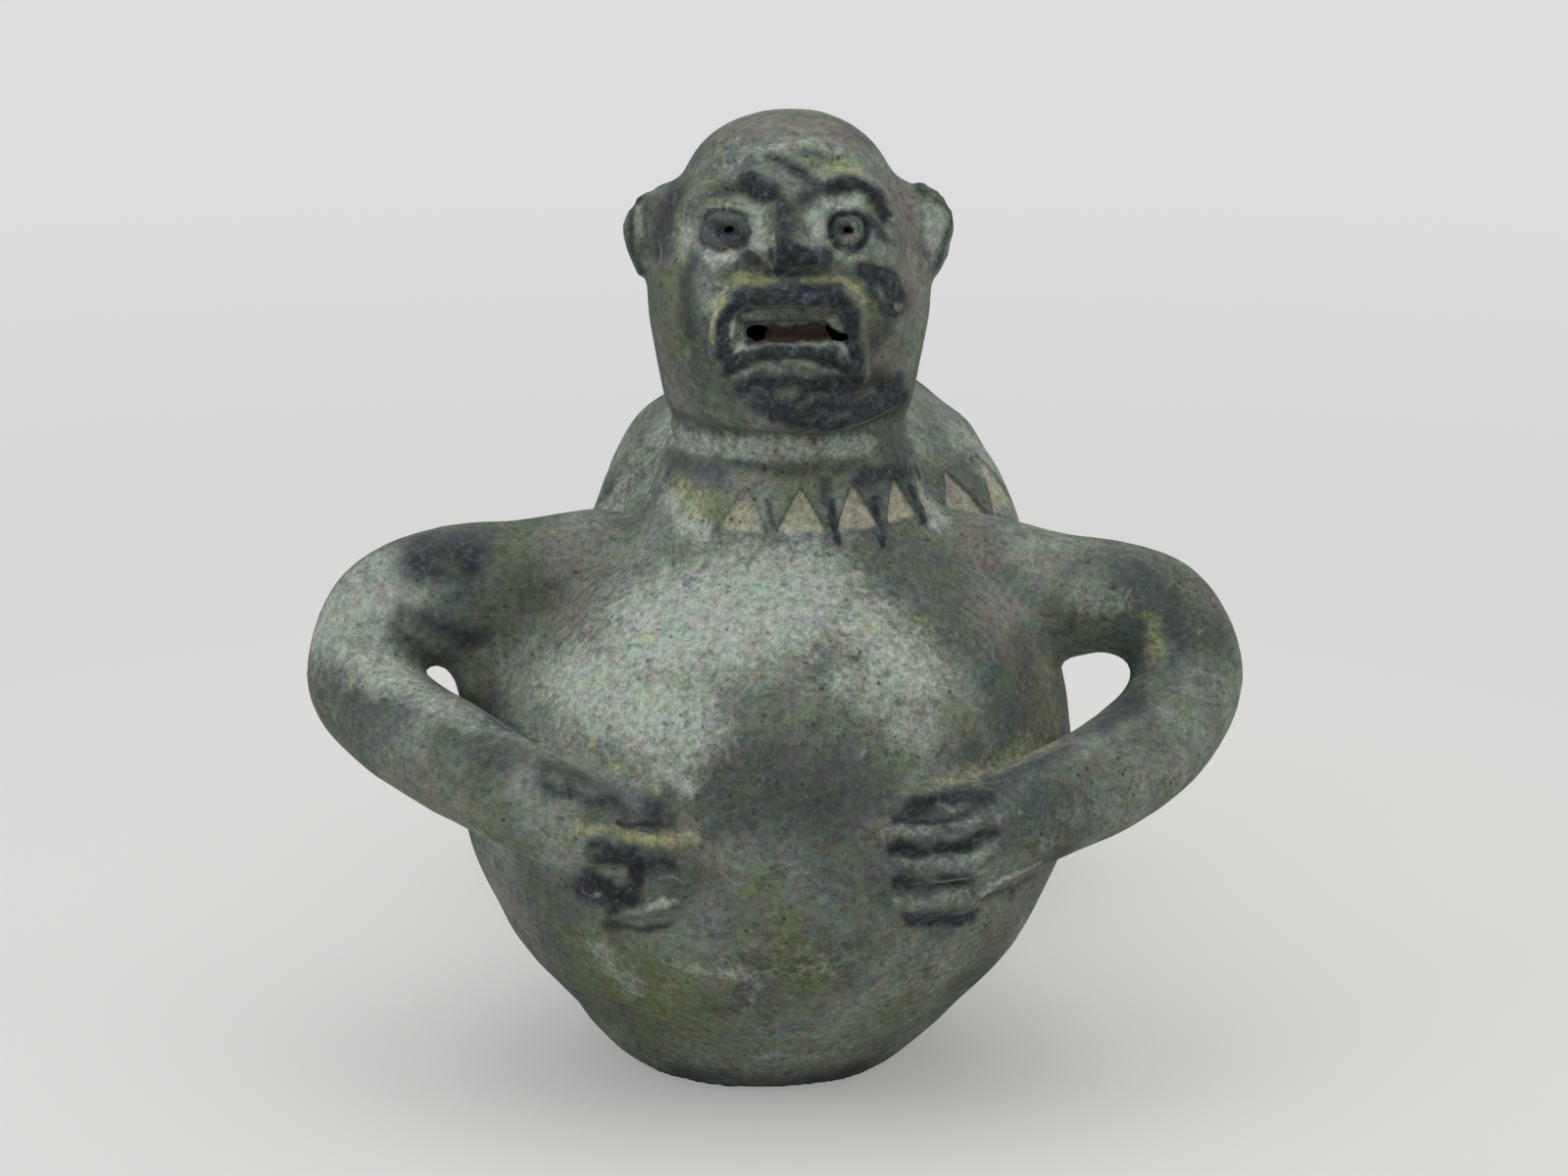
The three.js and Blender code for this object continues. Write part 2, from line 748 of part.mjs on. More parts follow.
function handSolid(side, growth = 0) {
  const place = onBelly(sideSigns[side] * handReach, handHeight, 0);
  const turn = Math.asin(place.x / Math.hypot(place.x, place.y));
  const axis = new THREE.Vector3(0, 0, 1);
  return pad(
    handHalfWidth + growth, handThickness + growth, handHalfHeight + growth, place, padSides,
    (point) => point.applyAxisAngle(axis, turn),
  );
}

function hand(side) {
  return handSolid(side).subtract(frontSolidGrown).subtract(armSolid(side, lutingGap));
}

// Fingers: short rolls across each hand, one above the other, tips toward the middle

const fingerPitch = fingerRadius * 2 + fingerGap;
const fingerRouteShares = [0, 0.5, 1];

function finger(side, index) {
  const height = handHeight + fingerTopRise - index * fingerPitch;
  const points = fingerRouteShares.map((share) => onBelly(
    sideSigns[side] * (handReach - handHalfWidth + fingerLength * share),
    height,
    handThickness - fingerRadius * fingerSinkShare,
  ));
  return roll(points, [fingerRadius, fingerRadius], fingerSteps, thinSides)
    .subtract(frontSolidGrown)
    .subtract(handSolid(side, lutingGap))
    .subtract(armSolid(side, lutingGap));
}

// Strap handle from the back of the head to the spout

function handle() {
  const start = new THREE.Vector3(figureLean, headHalfDepth / 2, upHead(handleFrontShare));
  const end = new THREE.Vector3(rearCentre.x, rearCentre.y, spoutBaseHeight + spoutHeight * handleRearShare);
  const curve = new THREE.CatmullRomCurve3(handleRouteShares.map(([along, rise]) => {
    const point = start.clone().lerp(end, along);
    point.z += handleRise * rise;
    return point;
  }));
  const section = new THREE.Shape();
  section.absellipse(0, 0, handleWidth / 2, handleThickness / 2, 0, Math.PI * 2);
  const geometry = new THREE.ExtrudeGeometry(section, {
    extrudePath: curve,
    steps: rollSides * 2,
    curveSegments: rollSides / 2,
  });
  return solidOf(geometry).subtract(headSolidGrown).subtract(spoutSolidGrown);
}

// The vessel

const vessel = new THREE.Group();

function place(name, solid, material) {
  const mesh = new THREE.Mesh(geometryOf(solid), material);
  mesh.name = name;
  vessel.add(mesh);
}

place("front_chamber", frontChamber, clay);
place("neck_collar", neckCollar, paleClay);
place("head", head, clay);
place("nose", nose(), smokedClay);
place("upper_lip", upperLip(), smokedClay);
place("lower_lip", lowerLip(), smokedClay);
for (const [side, sign] of Object.entries(sideSigns)) {
  place(`${side}_ear`, ear(sign), clay);
  place(`${side}_eye`, eye(sign), paleClay);
  place(`${side}_brow`, brow(sign), smokedClay);
  place(`${side}_arm`, arm(side), clay);
  place(`${side}_hand`, hand(side), clay);
  for (let i = 0; i < fingerCount; i += 1) {
    place(`${side}_finger_${i + 1}`, finger(side, i), i % 2 ? paleClay : smokedClay);
  }
}
place("connecting_tube", connectingTube, clay);
place("rear_chamber", rearChamber, clay);
place("rear_neck", rearNeck, clay);
place("rear_spout", rearSpout, clay);
place("strap_handle", handle(), clay);

// The frame's origin is under the middle of the whole vessel, on the ground
const extent = new THREE.Box3().setFromObject(vessel);
const middle = extent.getCenter(new THREE.Vector3());
vessel.position.set(-middle.x, -middle.y, -extent.min.z);

export default vessel;
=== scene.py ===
"""Double-chambered effigy vase of smoked green earthenware."""
import math

import bmesh
import bpy
import numpy as np
from mathutils import Matrix, Vector, noise
from mathutils.bvhtree import BVHTree


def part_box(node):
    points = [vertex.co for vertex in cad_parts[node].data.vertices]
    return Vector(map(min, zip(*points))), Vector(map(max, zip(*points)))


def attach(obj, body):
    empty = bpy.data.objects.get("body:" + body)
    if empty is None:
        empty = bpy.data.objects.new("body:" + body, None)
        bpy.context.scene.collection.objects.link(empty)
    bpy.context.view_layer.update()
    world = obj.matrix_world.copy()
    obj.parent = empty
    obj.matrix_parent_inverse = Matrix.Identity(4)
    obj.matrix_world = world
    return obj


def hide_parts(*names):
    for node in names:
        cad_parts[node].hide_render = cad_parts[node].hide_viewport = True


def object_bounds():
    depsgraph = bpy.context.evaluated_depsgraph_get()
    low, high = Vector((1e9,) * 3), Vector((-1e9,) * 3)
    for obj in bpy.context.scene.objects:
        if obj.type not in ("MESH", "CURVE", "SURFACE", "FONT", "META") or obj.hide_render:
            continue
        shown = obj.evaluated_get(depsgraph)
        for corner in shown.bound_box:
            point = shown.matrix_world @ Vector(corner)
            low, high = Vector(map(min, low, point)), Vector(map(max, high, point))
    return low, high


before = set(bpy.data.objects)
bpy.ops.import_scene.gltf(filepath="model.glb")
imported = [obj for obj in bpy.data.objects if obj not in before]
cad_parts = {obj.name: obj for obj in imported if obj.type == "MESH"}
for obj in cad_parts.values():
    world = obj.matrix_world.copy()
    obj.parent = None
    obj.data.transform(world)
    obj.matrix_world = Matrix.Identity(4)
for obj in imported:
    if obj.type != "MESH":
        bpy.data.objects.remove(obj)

# Table, camera and light
# A pale paper sweep under a wide soft tent of light, as a small pot is photographed. The camera
# looks down a little from the front. Lengths are millimetres from the foot of the front chamber.

cad_box = [list(corner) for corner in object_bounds()]
front_low, front_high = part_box("front_chamber")
foot_x = (front_low.x + front_high.x) / 2
foot_y = (front_low.y + front_high.y) / 2
TO_ROW = Matrix.Translation((foot_x, foot_y, 0)) @ Matrix.Scale(0.001, 4)

CAMERA_PLACE = Vector((3.9, -1200.0, 420.0))
CAMERA_TILT = math.radians(14.37)
PICTURE_WIDTH = 1600
PICTURE_HEIGHT = 1200
FOCAL_PIXELS = 5381.0
SENSOR_WIDTH = 36.0
# Node settings that come back often: a soft step, and a mix of colours
SOFT = {"interpolation_type": "SMOOTHSTEP"}
COLOURS = {"data_type": "RGBA"}


def linear(colour):
    """An sRGB hex colour as linear red, green, blue and alpha."""
    channels = [int(colour[i:i + 2], 16) / 255 for i in (1, 3, 5)]
    return [c / 12.92 if c <= 0.04045 else ((c + 0.055) / 1.055) ** 2.4 for c in channels] + [1]


def add_node(tree, kind, inputs=None, out=0, **settings):
    """Adds a node with its settings and links, and returns the output that is asked for.

    An input takes a value, a hex colour or the output of another node. A colour mix has its
    amount at 0, its two colours at 6 and 7, and its result at 2.
    """
    node = tree.nodes.new("ShaderNode" + kind)
    for name, value in settings.items():
        setattr(node, name, value)
    for name, value in (inputs or {}).items():
        if isinstance(value, bpy.types.NodeSocket):
            tree.links.new(value, node.inputs[name])
        else:
            node.inputs[name].default_value = linear(value) if isinstance(value, str) else value
    return node.outputs[out] if node.outputs else None


camera = bpy.data.objects.new("camera", bpy.data.cameras.new("camera"))
camera.location = TO_ROW @ CAMERA_PLACE
camera.rotation_euler = (math.pi / 2 - CAMERA_TILT, 0, 0)
camera.data.sensor_width = SENSOR_WIDTH
camera.data.lens = FOCAL_PIXELS * SENSOR_WIDTH / PICTURE_WIDTH
bpy.context.collection.objects.link(camera)
bpy.context.scene.camera = camera

# Matt paper: no gloss, so the pot leaves only a soft shadow that fades into an even grey
paper = bpy.data.materials.new("matt paper")
paper.use_nodes = True
tree = paper.node_tree
tree.nodes.clear()
sheet = add_node(tree, "BsdfPrincipled", {"Base Color": "#d7d5d1", "Roughness": 0.9})
spot = add_node(tree, "TexCoord", out="Object")
reach = add_node(tree, "VectorMath", {0: spot}, "Value", operation="LENGTH")
distance = add_node(tree, "MapRange", {"Value": reach, "From Min": 0.15, "From Max": 1.1})
paler = add_node(tree, "Mix", {0: distance, 6: "#d4d4d1", 7: "#dddcdf"}, 2, **COLOURS)
far_sheet = add_node(tree, "Emission", {"Color": paler})
fade = add_node(tree, "MapRange", {
    "Value": reach, "From Min": 0.10, "From Max": 0.50, "To Min": 0.38,
}, **SOFT)
ray = add_node(tree, "LightPath", out="Is Camera Ray")
by_eye = add_node(tree, "Math", {0: fade, 1: ray}, operation="MULTIPLY")
both = add_node(tree, "MixShader", {0: by_eye, 1: sheet, 2: far_sheet})
add_node(tree, "OutputMaterial", {"Surface": both})

bm = bmesh.new()
bmesh.ops.create_grid(bm, x_segments=1, y_segments=1, size=3.0)
floor_mesh = bpy.data.meshes.new("floor")
bm.to_mesh(floor_mesh)
bm.free()
floor = bpy.data.objects.new("floor", floor_mesh)
floor.data.materials.append(paper)
bpy.context.collection.objects.link(floor)

world = bpy.data.worlds.new("soft tent")
world.use_nodes = True
tree = world.node_tree
tree.nodes.clear()
air = add_node(tree, "Background", {"Color": "#eef0f4", "Strength": 0.66})
backdrop = add_node(tree, "Background", {"Color": "#dedde0"})
ray = add_node(tree, "LightPath", out="Is Camera Ray")
sky = add_node(tree, "MixShader", {0: ray, 1: air, 2: backdrop})
add_node(tree, "OutputWorld", {"Surface": sky})
bpy.context.scene.world = world
bpy.context.scene.view_settings.view_transform = "Standard"

# Each lamp's place, size in metres, power in watts and colour
LAMPS = {
    "overhead panel": ((0.0, 0.1, 1.6), 2.4, 21, "#ffffff"),
    "left panel": ((-1.5, -0.9, 1.0), 1.4, 8, "#f4f8ff"),
    "right panel": ((1.6, -0.7, 0.9), 1.4, 5, "#fff8f0"),
}
for name, (place, size, power, colour) in LAMPS.items():
    lamp = bpy.data.objects.new(name, bpy.data.lights.new(name, "AREA"))
    lamp.location = place
    lamp.rotation_euler = (Vector((0, 0, 0.1)) - Vector(place)).to_track_quat("-Z", "Y").to_euler()
    lamp.data.size = size
    lamp.data.energy = power
    lamp.data.color = linear(colour)[:3]
    bpy.context.collection.objects.link(lamp)

# Front chamber, neck and head
# The potter built these as one wall: a round belly on a small flat foot, closed in to a
# shoulder, drawn up into a neck and shut over as a head with a full muzzle and a heavy chin.

CHAMBER_HEIGHT = 131.0
BELLY_HEIGHT = 67.0
LEAN = 5.0
HEAD_FOOT = 153.0
HEAD_HALF_WIDTH = 33.0
HEAD_DEPTH = 1.03
# How far the foot stands to the left, and the heights between which that ends
FOOT_ASKEW = 1.0
ASKEW_BAND = (2, 22)
# Radius and height, from the middle of the foot up to the crown
FIGURE_OUTLINE = [
    (0.01, 0), (29.4, 0), (33.2, 0.5), (41.6, 8), (48.2, 16.1), (55.4, 24.1), (61.4, 32.2),
    (65.4, 40.2), (69.8, 50), (72.1, 60), (72.4, 67), (71.7, 78), (69.4, 88), (65.7, 98),
    (61.3, 106), (56.8, 112), (51, 118), (44.3, 124), (39.2, 128), (35.6, 131.6), (33.2, 135.5),
    (31.6, 140), (30.2, 145), (28.4, 149), (27.4, 152), (27.2, 154.5), (28.8, 157.8), (30.7, 166.4),
    (32.4, 175.8), (33, 183.8), (32.5, 191.8), (30.7, 199.1), (28.1, 204.9), (24.9, 210.4),
    (21.3, 216.5), (16.8, 220.9), (11.6, 223.8), (5.9, 225.6), (0.01, 226),
]
# How far each swelling of the face stands out, its half width, its height and its half height
MUZZLE = (5.0, 17.0, 180.0, 16.0)
CHIN = (4.5, 15.0, 163.0, 7.0)


def curve_through(points, count):
    """Evenly numbered points on a smooth curve that passes through the given ones."""
    points = np.asarray(points, float)
    ends = np.vstack([2 * points[:1] - points[1:2], points, 2 * points[-1:] - points[-2:-1]])
    place = np.linspace(0, len(points) - 1.000001, count)
    i = place.astype(int)
    t = (place - i)[:, None]
    a, b, c, d = ends[i], ends[i + 1], ends[i + 2], ends[i + 3]
    return 0.5 * (2 * b + (c - a) * t + (2 * a - 5 * b + 4 * c - d) * t ** 2
                  + (3 * b - a - 3 * c + d) * t ** 3)


def turned(outline, steps=96):
    """A solid of revolution about the upright axis, from an outline of radius and height."""
    bm = bmesh.new()
    ring = [bm.verts.new((max(r, 0.01), 0, z)) for r, z in outline]
    edges = [bm.edges.new(pair) for pair in zip(ring, ring[1:])]
    bmesh.ops.spin(bm, geom=ring + edges, axis=(0, 0, 1), cent=(0, 0, 0), steps=steps,
                   angle=2 * math.pi, use_merge=True)
    bmesh.ops.remove_doubles(bm, verts=bm.verts, dist=0.05)
    bmesh.ops.recalc_face_normals(bm, faces=bm.faces)
    return bm


def places(bm):
    """Where the points of the mesh are, in an array."""
    return np.array([v.co for v in bm.verts])


def put_places(bm, co):
    for v, p in zip(bm.verts, co):
        v.co = p


def smooth_step(x, low, high):
    t = np.clip((x - low) / (high - low), 0, 1)
    return t * t * (3 - 2 * t)


def swell(co, reach, half_width, height, half_height):
    """How far a soft bump on the face stands out."""
    across = (co[:, 0] / half_width) ** 2
    up = ((co[:, 2] - height) / half_height) ** 2
    return reach * np.exp(-across - up)


parts = []
bm = turned(curve_through(FIGURE_OUTLINE, 190))
co = places(bm)
on_head = smooth_step(co[:, 2], HEAD_FOOT - 1, HEAD_FOOT + 3)
toward = np.sqrt(smooth_step(-co[:, 1], 0, HEAD_HALF_WIDTH))
co[:, 1] *= 1 + (HEAD_DEPTH - 1) * on_head
co[:, 1] -= on_head * toward * (swell(co, *MUZZLE) + swell(co, *CHIN))
co[:, 0] += LEAN * smooth_step(co[:, 2], BELLY_HEIGHT, CHAMBER_HEIGHT)
co[:, 0] -= FOOT_ASKEW * (1 - smooth_step(co[:, 2], *ASKEW_BAND))
put_places(bm, co)
parts.append(bm)

# Arms
# Two thick hand-rolled coils. Each leaves the shoulder level, turns at the elbow and comes
# forward and down, so that the wrist lies on the belly. Wet clay is webbed into the armpits.

# Routes from the shoulder to the wrist: x, y, z and radius
LEFT_ARM = [
    (-24, 0, 113, 15), (-34.5, 0, 115.3, 16.6), (-57.5, -2.2, 112.4, 16.9),
    (-74.2, -2.9, 111.6, 16.7), (-88.6, -5.8, 107.2, 14.8), (-94.7, -10, 93.8, 13.4),
    (-86.8, -21.7, 86.6, 13.4), (-74, -38, 83.4, 13.2), (-58.2, -55.7, 79.5, 12.6),
    (-40.2, -64.2, 73, 11.3), (-32, -65, 70, 9),
]
RIGHT_ARM = [
    (26, 0, 113, 15), (35.7, 0, 115.9, 16.6), (66, -2.2, 111.7, 15.2), (80.8, -4, 111.5, 13.6),
    (92.8, -6, 106.5, 13.6), (98.0, -10, 95.6, 13.4), (93.2, -21.7, 85.9, 13.4),
    (79.8, -38, 79, 13.2), (61.6, -55.7, 75.1, 12.6), (42.4, -64.2, 69, 11.3), (34, -65, 67, 9),
]


def coil(route, count=90, sides=32):
    """A hand-rolled coil of clay along a route of x, y, z and radius, round at both ends."""
    line = curve_through(route, count)
    curve = bpy.data.curves.new("coil", "CURVE")
    curve.dimensions = "3D"
    curve.bevel_depth = 1.0
    curve.bevel_resolution = sides // 4
    curve.use_fill_caps = True
    spline = curve.splines.new("POLY")
    spline.points.add(count - 1)
    lengths = np.concatenate([[0], np.cumsum(np.linalg.norm(np.diff(line[:, :3], axis=0), axis=1))])
    for point, (x, y, z, radius), along in zip(spline.points, line, lengths):
        into = min(along, lengths[-1] - along) / radius
        point.co = (x, y, z, 1)
        point.radius = radius * (math.sqrt(max(into * (2 - into), 0.01)) if into < 1 else 1)
    holder = bpy.data.objects.new("coil", curve)
    mesh = holder.to_mesh()
    bm = bmesh.new()
    bm.from_mesh(mesh)
    holder.to_mesh_clear()
    bpy.data.objects.remove(holder)
    bpy.data.curves.remove(curve)
    bmesh.ops.remove_doubles(bm, verts=bm.verts, dist=0.01)
    bmesh.ops.recalc_face_normals(bm, faces=bm.faces)
    return bm


def pad(half, place, turn=0.0):
    """A cushion-shaped lump of clay."""
    bm = bmesh.new()
    bmesh.ops.create_uvsphere(bm, u_segments=40, v_segments=24, radius=1)
    matrix = Matrix.Translation(place) @ Matrix.Rotation(turn, 4, "Z") @ Matrix.Diagonal((*half, 1))
    bmesh.ops.transform(bm, matrix=matrix, verts=bm.verts)
    return bm


WEBS = [
    ((14.5, 12, 13), (-62, -6, 100)), ((11, 10, 9), (-62, -10, 92)), ((11, 11, 7), (61, -6, 101)),
]
parts += [coil(LEFT_ARM), coil(RIGHT_ARM)]
parts += [pad(half, place) for half, place in WEBS]

# Ears
# Two half-round tabs of the same clay, pressed to the sides of the head and flat along the top.
# Each is built from two lumps, and its front is hollowed later with a fingertip.

EARS = [
    ((9.4, 4.6, 11.4), (-24.2, -1.5, 196.6)), ((8.8, 4.6, 6.4), (-20.5, -1.5, 203.8)),
    ((9.4, 4.6, 11.8), (34.0, -1.5, 197.2)), ((8.8, 4.6, 6.4), (30.0, -1.5, 203.8)),
]
parts += [pad(half, place) for half, place in EARS]

# Hands
# Flattened lumps of clay at the ends of the arms, dragged on to the belly with the thumb. The
# fingers are drawn up out of them later.

BELLY_RADIUS = 72.0
HAND_HALF = (14.0, 3.9, 16.5)
HAND_HEIGHT = 69.4
HANDS_ACROSS = (-32.0, 36.0)
for x in HANDS_ACROSS:
    y = -math.sqrt(BELLY_RADIUS ** 2 - x ** 2)
    parts.append(pad(HAND_HALF, (x, y, HAND_HEIGHT), math.asin(x / BELLY_RADIUS)))

# Rear chamber, its neck and its spout
# A plain round pot of the same clay, a little smaller, that stands behind the figure. It is drawn
# up into a neck and filled through the spout, whose inside is part of the outline.

REAR_PLACE = (8.4, 141.8)
REAR_OUTLINE = [
    (0.01, 0), (20.5, 0), (24.8, 0.4), (34.1, 8), (40.6, 16.1), (46.7, 24.1), (51.8, 32.2),
    (55.4, 40.2), (59.2, 50), (61.2, 60), (61.5, 67), (60.9, 78), (59.1, 88), (56, 98), (52.5, 106),
    (48.8, 112), (44.1, 118), (38.6, 124), (33.8, 128.5), (28, 133.4), (23.1, 138.4), (19.6, 144.5),
    (17.2, 151.7), (15.1, 160), (14, 168), (14, 177), (14.8, 182), (15.4, 184.4), (14, 185),
    (12.2, 184.2), (10.6, 181), (10, 174), (10, 160), (10, 140), (9, 137), (0.01, 136),
]
bm = turned(curve_through(REAR_OUTLINE, 170))
bmesh.ops.translate(bm, verts=bm.verts, vec=(*REAR_PLACE, 0))
parts.append(bm)

# Connecting tube
# A short clay pipe luted between the two bellies, a little below their middles, so that both
# chambers fill together.

TUBE = [(4.2, 66, 66, 14), (4.2, 76, 66, 14), (4.2, 86, 66, 14)]
parts.append(coil(TUBE, 20))

# Strap handle
# A flat strap pulled from a lump of the same clay. It runs from the back of the head down to the
# spout and is luted on at both ends.

HANDLE_WIDTH = 24.0
HANDLE_THICKNESS = 9.0
HANDLE = [
    (5, 17, 186), (5.7, 44.5, 194.4), (6.6, 74.4, 196.1), (7.4, 104.4, 188.4), (7.9, 124.3, 177.7),
    (8.2, 136, 173),
]
flat = HANDLE_THICKNESS / HANDLE_WIDTH
bm = coil([(x * flat, y, z, HANDLE_THICKNESS / 2) for x, y, z in HANDLE])
bmesh.ops.scale(bm, vec=(1 / flat, 1, 1), verts=bm.verts)
parts.append(bm)

# Luting
# The wet pieces are joined with slip and the joins are wiped smooth with a finger, so the
# clay runs on from one piece to the next. The whole skin is remade here as one surface first.

# Size of the grid that the skin is remade on, and how much it is wiped, even where least
GRAIN = 1.5
WIPES = 60
LIGHTEST_WIPE = 0.08
# Finger-wiped joins: each spot is a middle, a reach and how hard the thumb worked it
WIPED = [
    ((-46, 0, 106), 25, 1.0), ((46, 0, 106), 25, 1.0), ((-40, -60, 74), 18, 0.6),
    ((44, -60, 70), 18, 0.6), ((4, 76, 66), 30, 1.0), ((5, 34, 190), 16, 0.8),
    ((8, 128, 176), 16, 0.8), ((-62, -50, 70), 16, 0.6), ((66, -50, 66), 16, 0.6),
    ((-22, -68, 70), 16, 0.7), ((26, -68, 70), 16, 0.7), ((-40, -60, 56), 14, 0.7),
    ((42, -60, 54), 14, 0.7), ((-24, 0, 198), 16, 0.3), ((34, 0, 198), 16, 0.3),
]
# Uneven places in the rear chamber's wall: where, how wide, and how far out
DENTS = [((-33, 149, 121), 15, 1.8), ((50.5, 149, 119), 11, 1.1), ((-47, 145, 99), 16, -2.0)]
# Low and high corners of the places for fine marks: head, neck band, rear band and both hands,
# which are divided once, and the face, which is divided again
FINE = [
    ((-999, -999, 150), (999, 4, 999)), ((-37, -999, 131), (47, 45, 152)),
    ((-999, 84, 98.5), (999, 999, 116.5)), ((-54, -999, 48), (-12, -44, 92)),
    ((16, -999, 48), (58, -44, 92)),
]
FINER = [((-22, -999, 160), (32, -16, 217))]


def joined(lumps, name):
    """One object that holds all the lumps."""
    whole = bmesh.new()
    for lump in lumps:
        mesh = bpy.data.meshes.new("lump")
        lump.to_mesh(mesh)
        lump.free()
        whole.from_mesh(mesh)
        bpy.data.meshes.remove(mesh)
    mesh = bpy.data.meshes.new(name)
    whole.to_mesh(mesh)
    whole.free()
    solid = bpy.data.objects.new(name, mesh)
    bpy.context.collection.objects.link(solid)
    return solid


def baked(solid):
    """Applies the object's modifiers to its mesh."""
    bpy.context.view_layer.update()
    shaped = solid.evaluated_get(bpy.context.evaluated_depsgraph_get())
    mesh = bpy.data.meshes.new_from_object(shaped)
    old = solid.data
    solid.modifiers.clear()
    solid.data = mesh
    bpy.data.meshes.remove(old)


skin = joined(parts, "skin")
remesh = skin.modifiers.new("luting", "REMESH")
remesh.mode = "VOXEL"
remesh.voxel_size = GRAIN
baked(skin)


def read(mesh):
    """Places and outward directions of a mesh's points, in two arrays."""
    co = np.empty(len(mesh.vertices) * 3)
    no = np.empty(len(mesh.vertices) * 3)
    mesh.vertices.foreach_get("co", co)
    mesh.vertices.foreach_get("normal", no)
    return co.reshape(-1, 3), no.reshape(-1, 3)


def put(mesh, co):
    mesh.vertices.foreach_set("co", co.ravel())
    mesh.update()


def wiped(solid, weights, passes):
    """Wipes the clay smooth, the more the nearer a point's weight is to 1."""
    group = solid.vertex_groups.new(name="wiped")
    for level in range(1, 11):
        chosen = np.flatnonzero(np.ceil(weights * 10) == level)
        group.add([int(i) for i in chosen], level / 10, "REPLACE")
    smooth = solid.modifiers.new("wiping", "SMOOTH")
    smooth.factor = 0.5
    smooth.iterations = passes
    smooth.vertex_group = "wiped"
    baked(solid)
    solid.vertex_groups.clear()


co, _ = read(skin.data)
weights = np.zeros(len(co))
for middle, reach, amount in WIPED:
    away = np.linalg.norm(co - middle, axis=1) / reach
    weights = np.maximum(weights, amount * (1 - smooth_step(away, 0.5, 1.0)))
wiped(skin, np.clip(weights, LIGHTEST_WIPE, 1), WIPES)
co, no = read(skin.data)
for middle, reach, height in DENTS:
    away = np.linalg.norm(co - middle, axis=1) / reach
    co += no * (height * (1 - smooth_step(away, 0.0, 1.0)))[:, None]
put(skin.data, co)


def within(co, *boxes):
    """Which points lie in one of the boxes, each given by its low and high corner."""
    return np.any([np.all((co > low) & (co < high), axis=1) for low, high in boxes], axis=0)


def refine(mesh, boxes):
    """Divides the faces whose middle lies in one of the boxes."""
    bm = bmesh.new()
    bm.from_mesh(mesh)
    chosen = within(np.array([face.calc_center_median() for face in bm.faces]), *boxes)
    edges = {edge for face, fine in zip(bm.faces, chosen) if fine for edge in face.edges}
    bmesh.ops.subdivide_edges(bm, edges=list(edges), cuts=1, use_grid_fill=True)
    bm.to_mesh(mesh)
    bm.free()


refine(skin.data, FINE)
refine(skin.data, FINER)

# Modelling by hand
# The face and the fingers were drawn up with the fingertips and pressed in with a stick while the
# clay was soft. Each mark follows a line in the camera's picture, in its pixels, and moves the
# clay that faces the camera out, or in where the height is below zero, by so many millimetres.

# Hand-wrought unevenness: how wide and how high its swells are
UNEVEN = [(22.0, 0.45), (7.0, 0.16)]
# Low and high corners of the parts that were modelled, and how lightly they were wiped after
HEAD_BOX = ((-60, -90, 148), (60, 14, 240))
FOREARM_BOX = ((-110, -100, 30), (110, -20, 110))
WORKED = 0.6
WORKED_WIPES = 3
# The front of the face, above the chin
FACE_FRONT = -12
FACE_FOOT = 165
# Each mark's reach in pixels, height in millimetres, crispness, and the points of its line
FACE_RIDGES = [
    (40, 1.4, 2, (790, 400), (835, 404)), (26, 1.2, 2, (904, 285), (908, 330)),
    (22, 0.8, 2, (696, 270), (694, 330)), (30, 0.9, 2, (760, 300), (850, 300)),
    (10, 1.2, 2, (790, 427), (840, 430), (885, 419), (918, 402)),
    (9, 1.9, 3, (788, 197), (774, 184), (752, 184), (734, 190), (716, 200), (705, 212)),
    (9, 1.9, 3, (822, 196), (842, 188), (862, 184), (880, 188), (893, 199), (903, 217), (912, 240)),
    (4, 0.7, 3, (712, 210), (722, 204), (733, 203), (742, 211)),
    (15, 2.6, 2, (799, 203), (800, 225), (803, 250)), (17, 4.2, 2.4, (800, 260), (812, 258)),
    (14, 3.2, 2.4, (832, 263), (838, 265)), (11, 2.8, 2.6, (765, 262), (769, 266)),
    (9.5, 2.4, 3, (733, 358), (735, 330), (744, 311), (760, 303), (778, 304), (800, 307),
        (822, 306), (846, 302), (861, 307), (870, 324), (875, 350), (877, 378)),
    (8.5, 2.2, 3, (741, 373), (763, 361), (791, 354), (819, 355), (846, 361), (866, 374)),
    (5, 0.5, 2, (722, 172), (745, 160), (790, 153), (830, 149), (868, 157), (886, 170)),
    (6, 1.3, 3, (657, 197), (647, 213), (643, 232), (648, 254), (657, 275)),
    (6, 1.3, 3, (938, 190), (955, 199), (965, 216), (966, 232), (958, 256), (951, 274)),
]
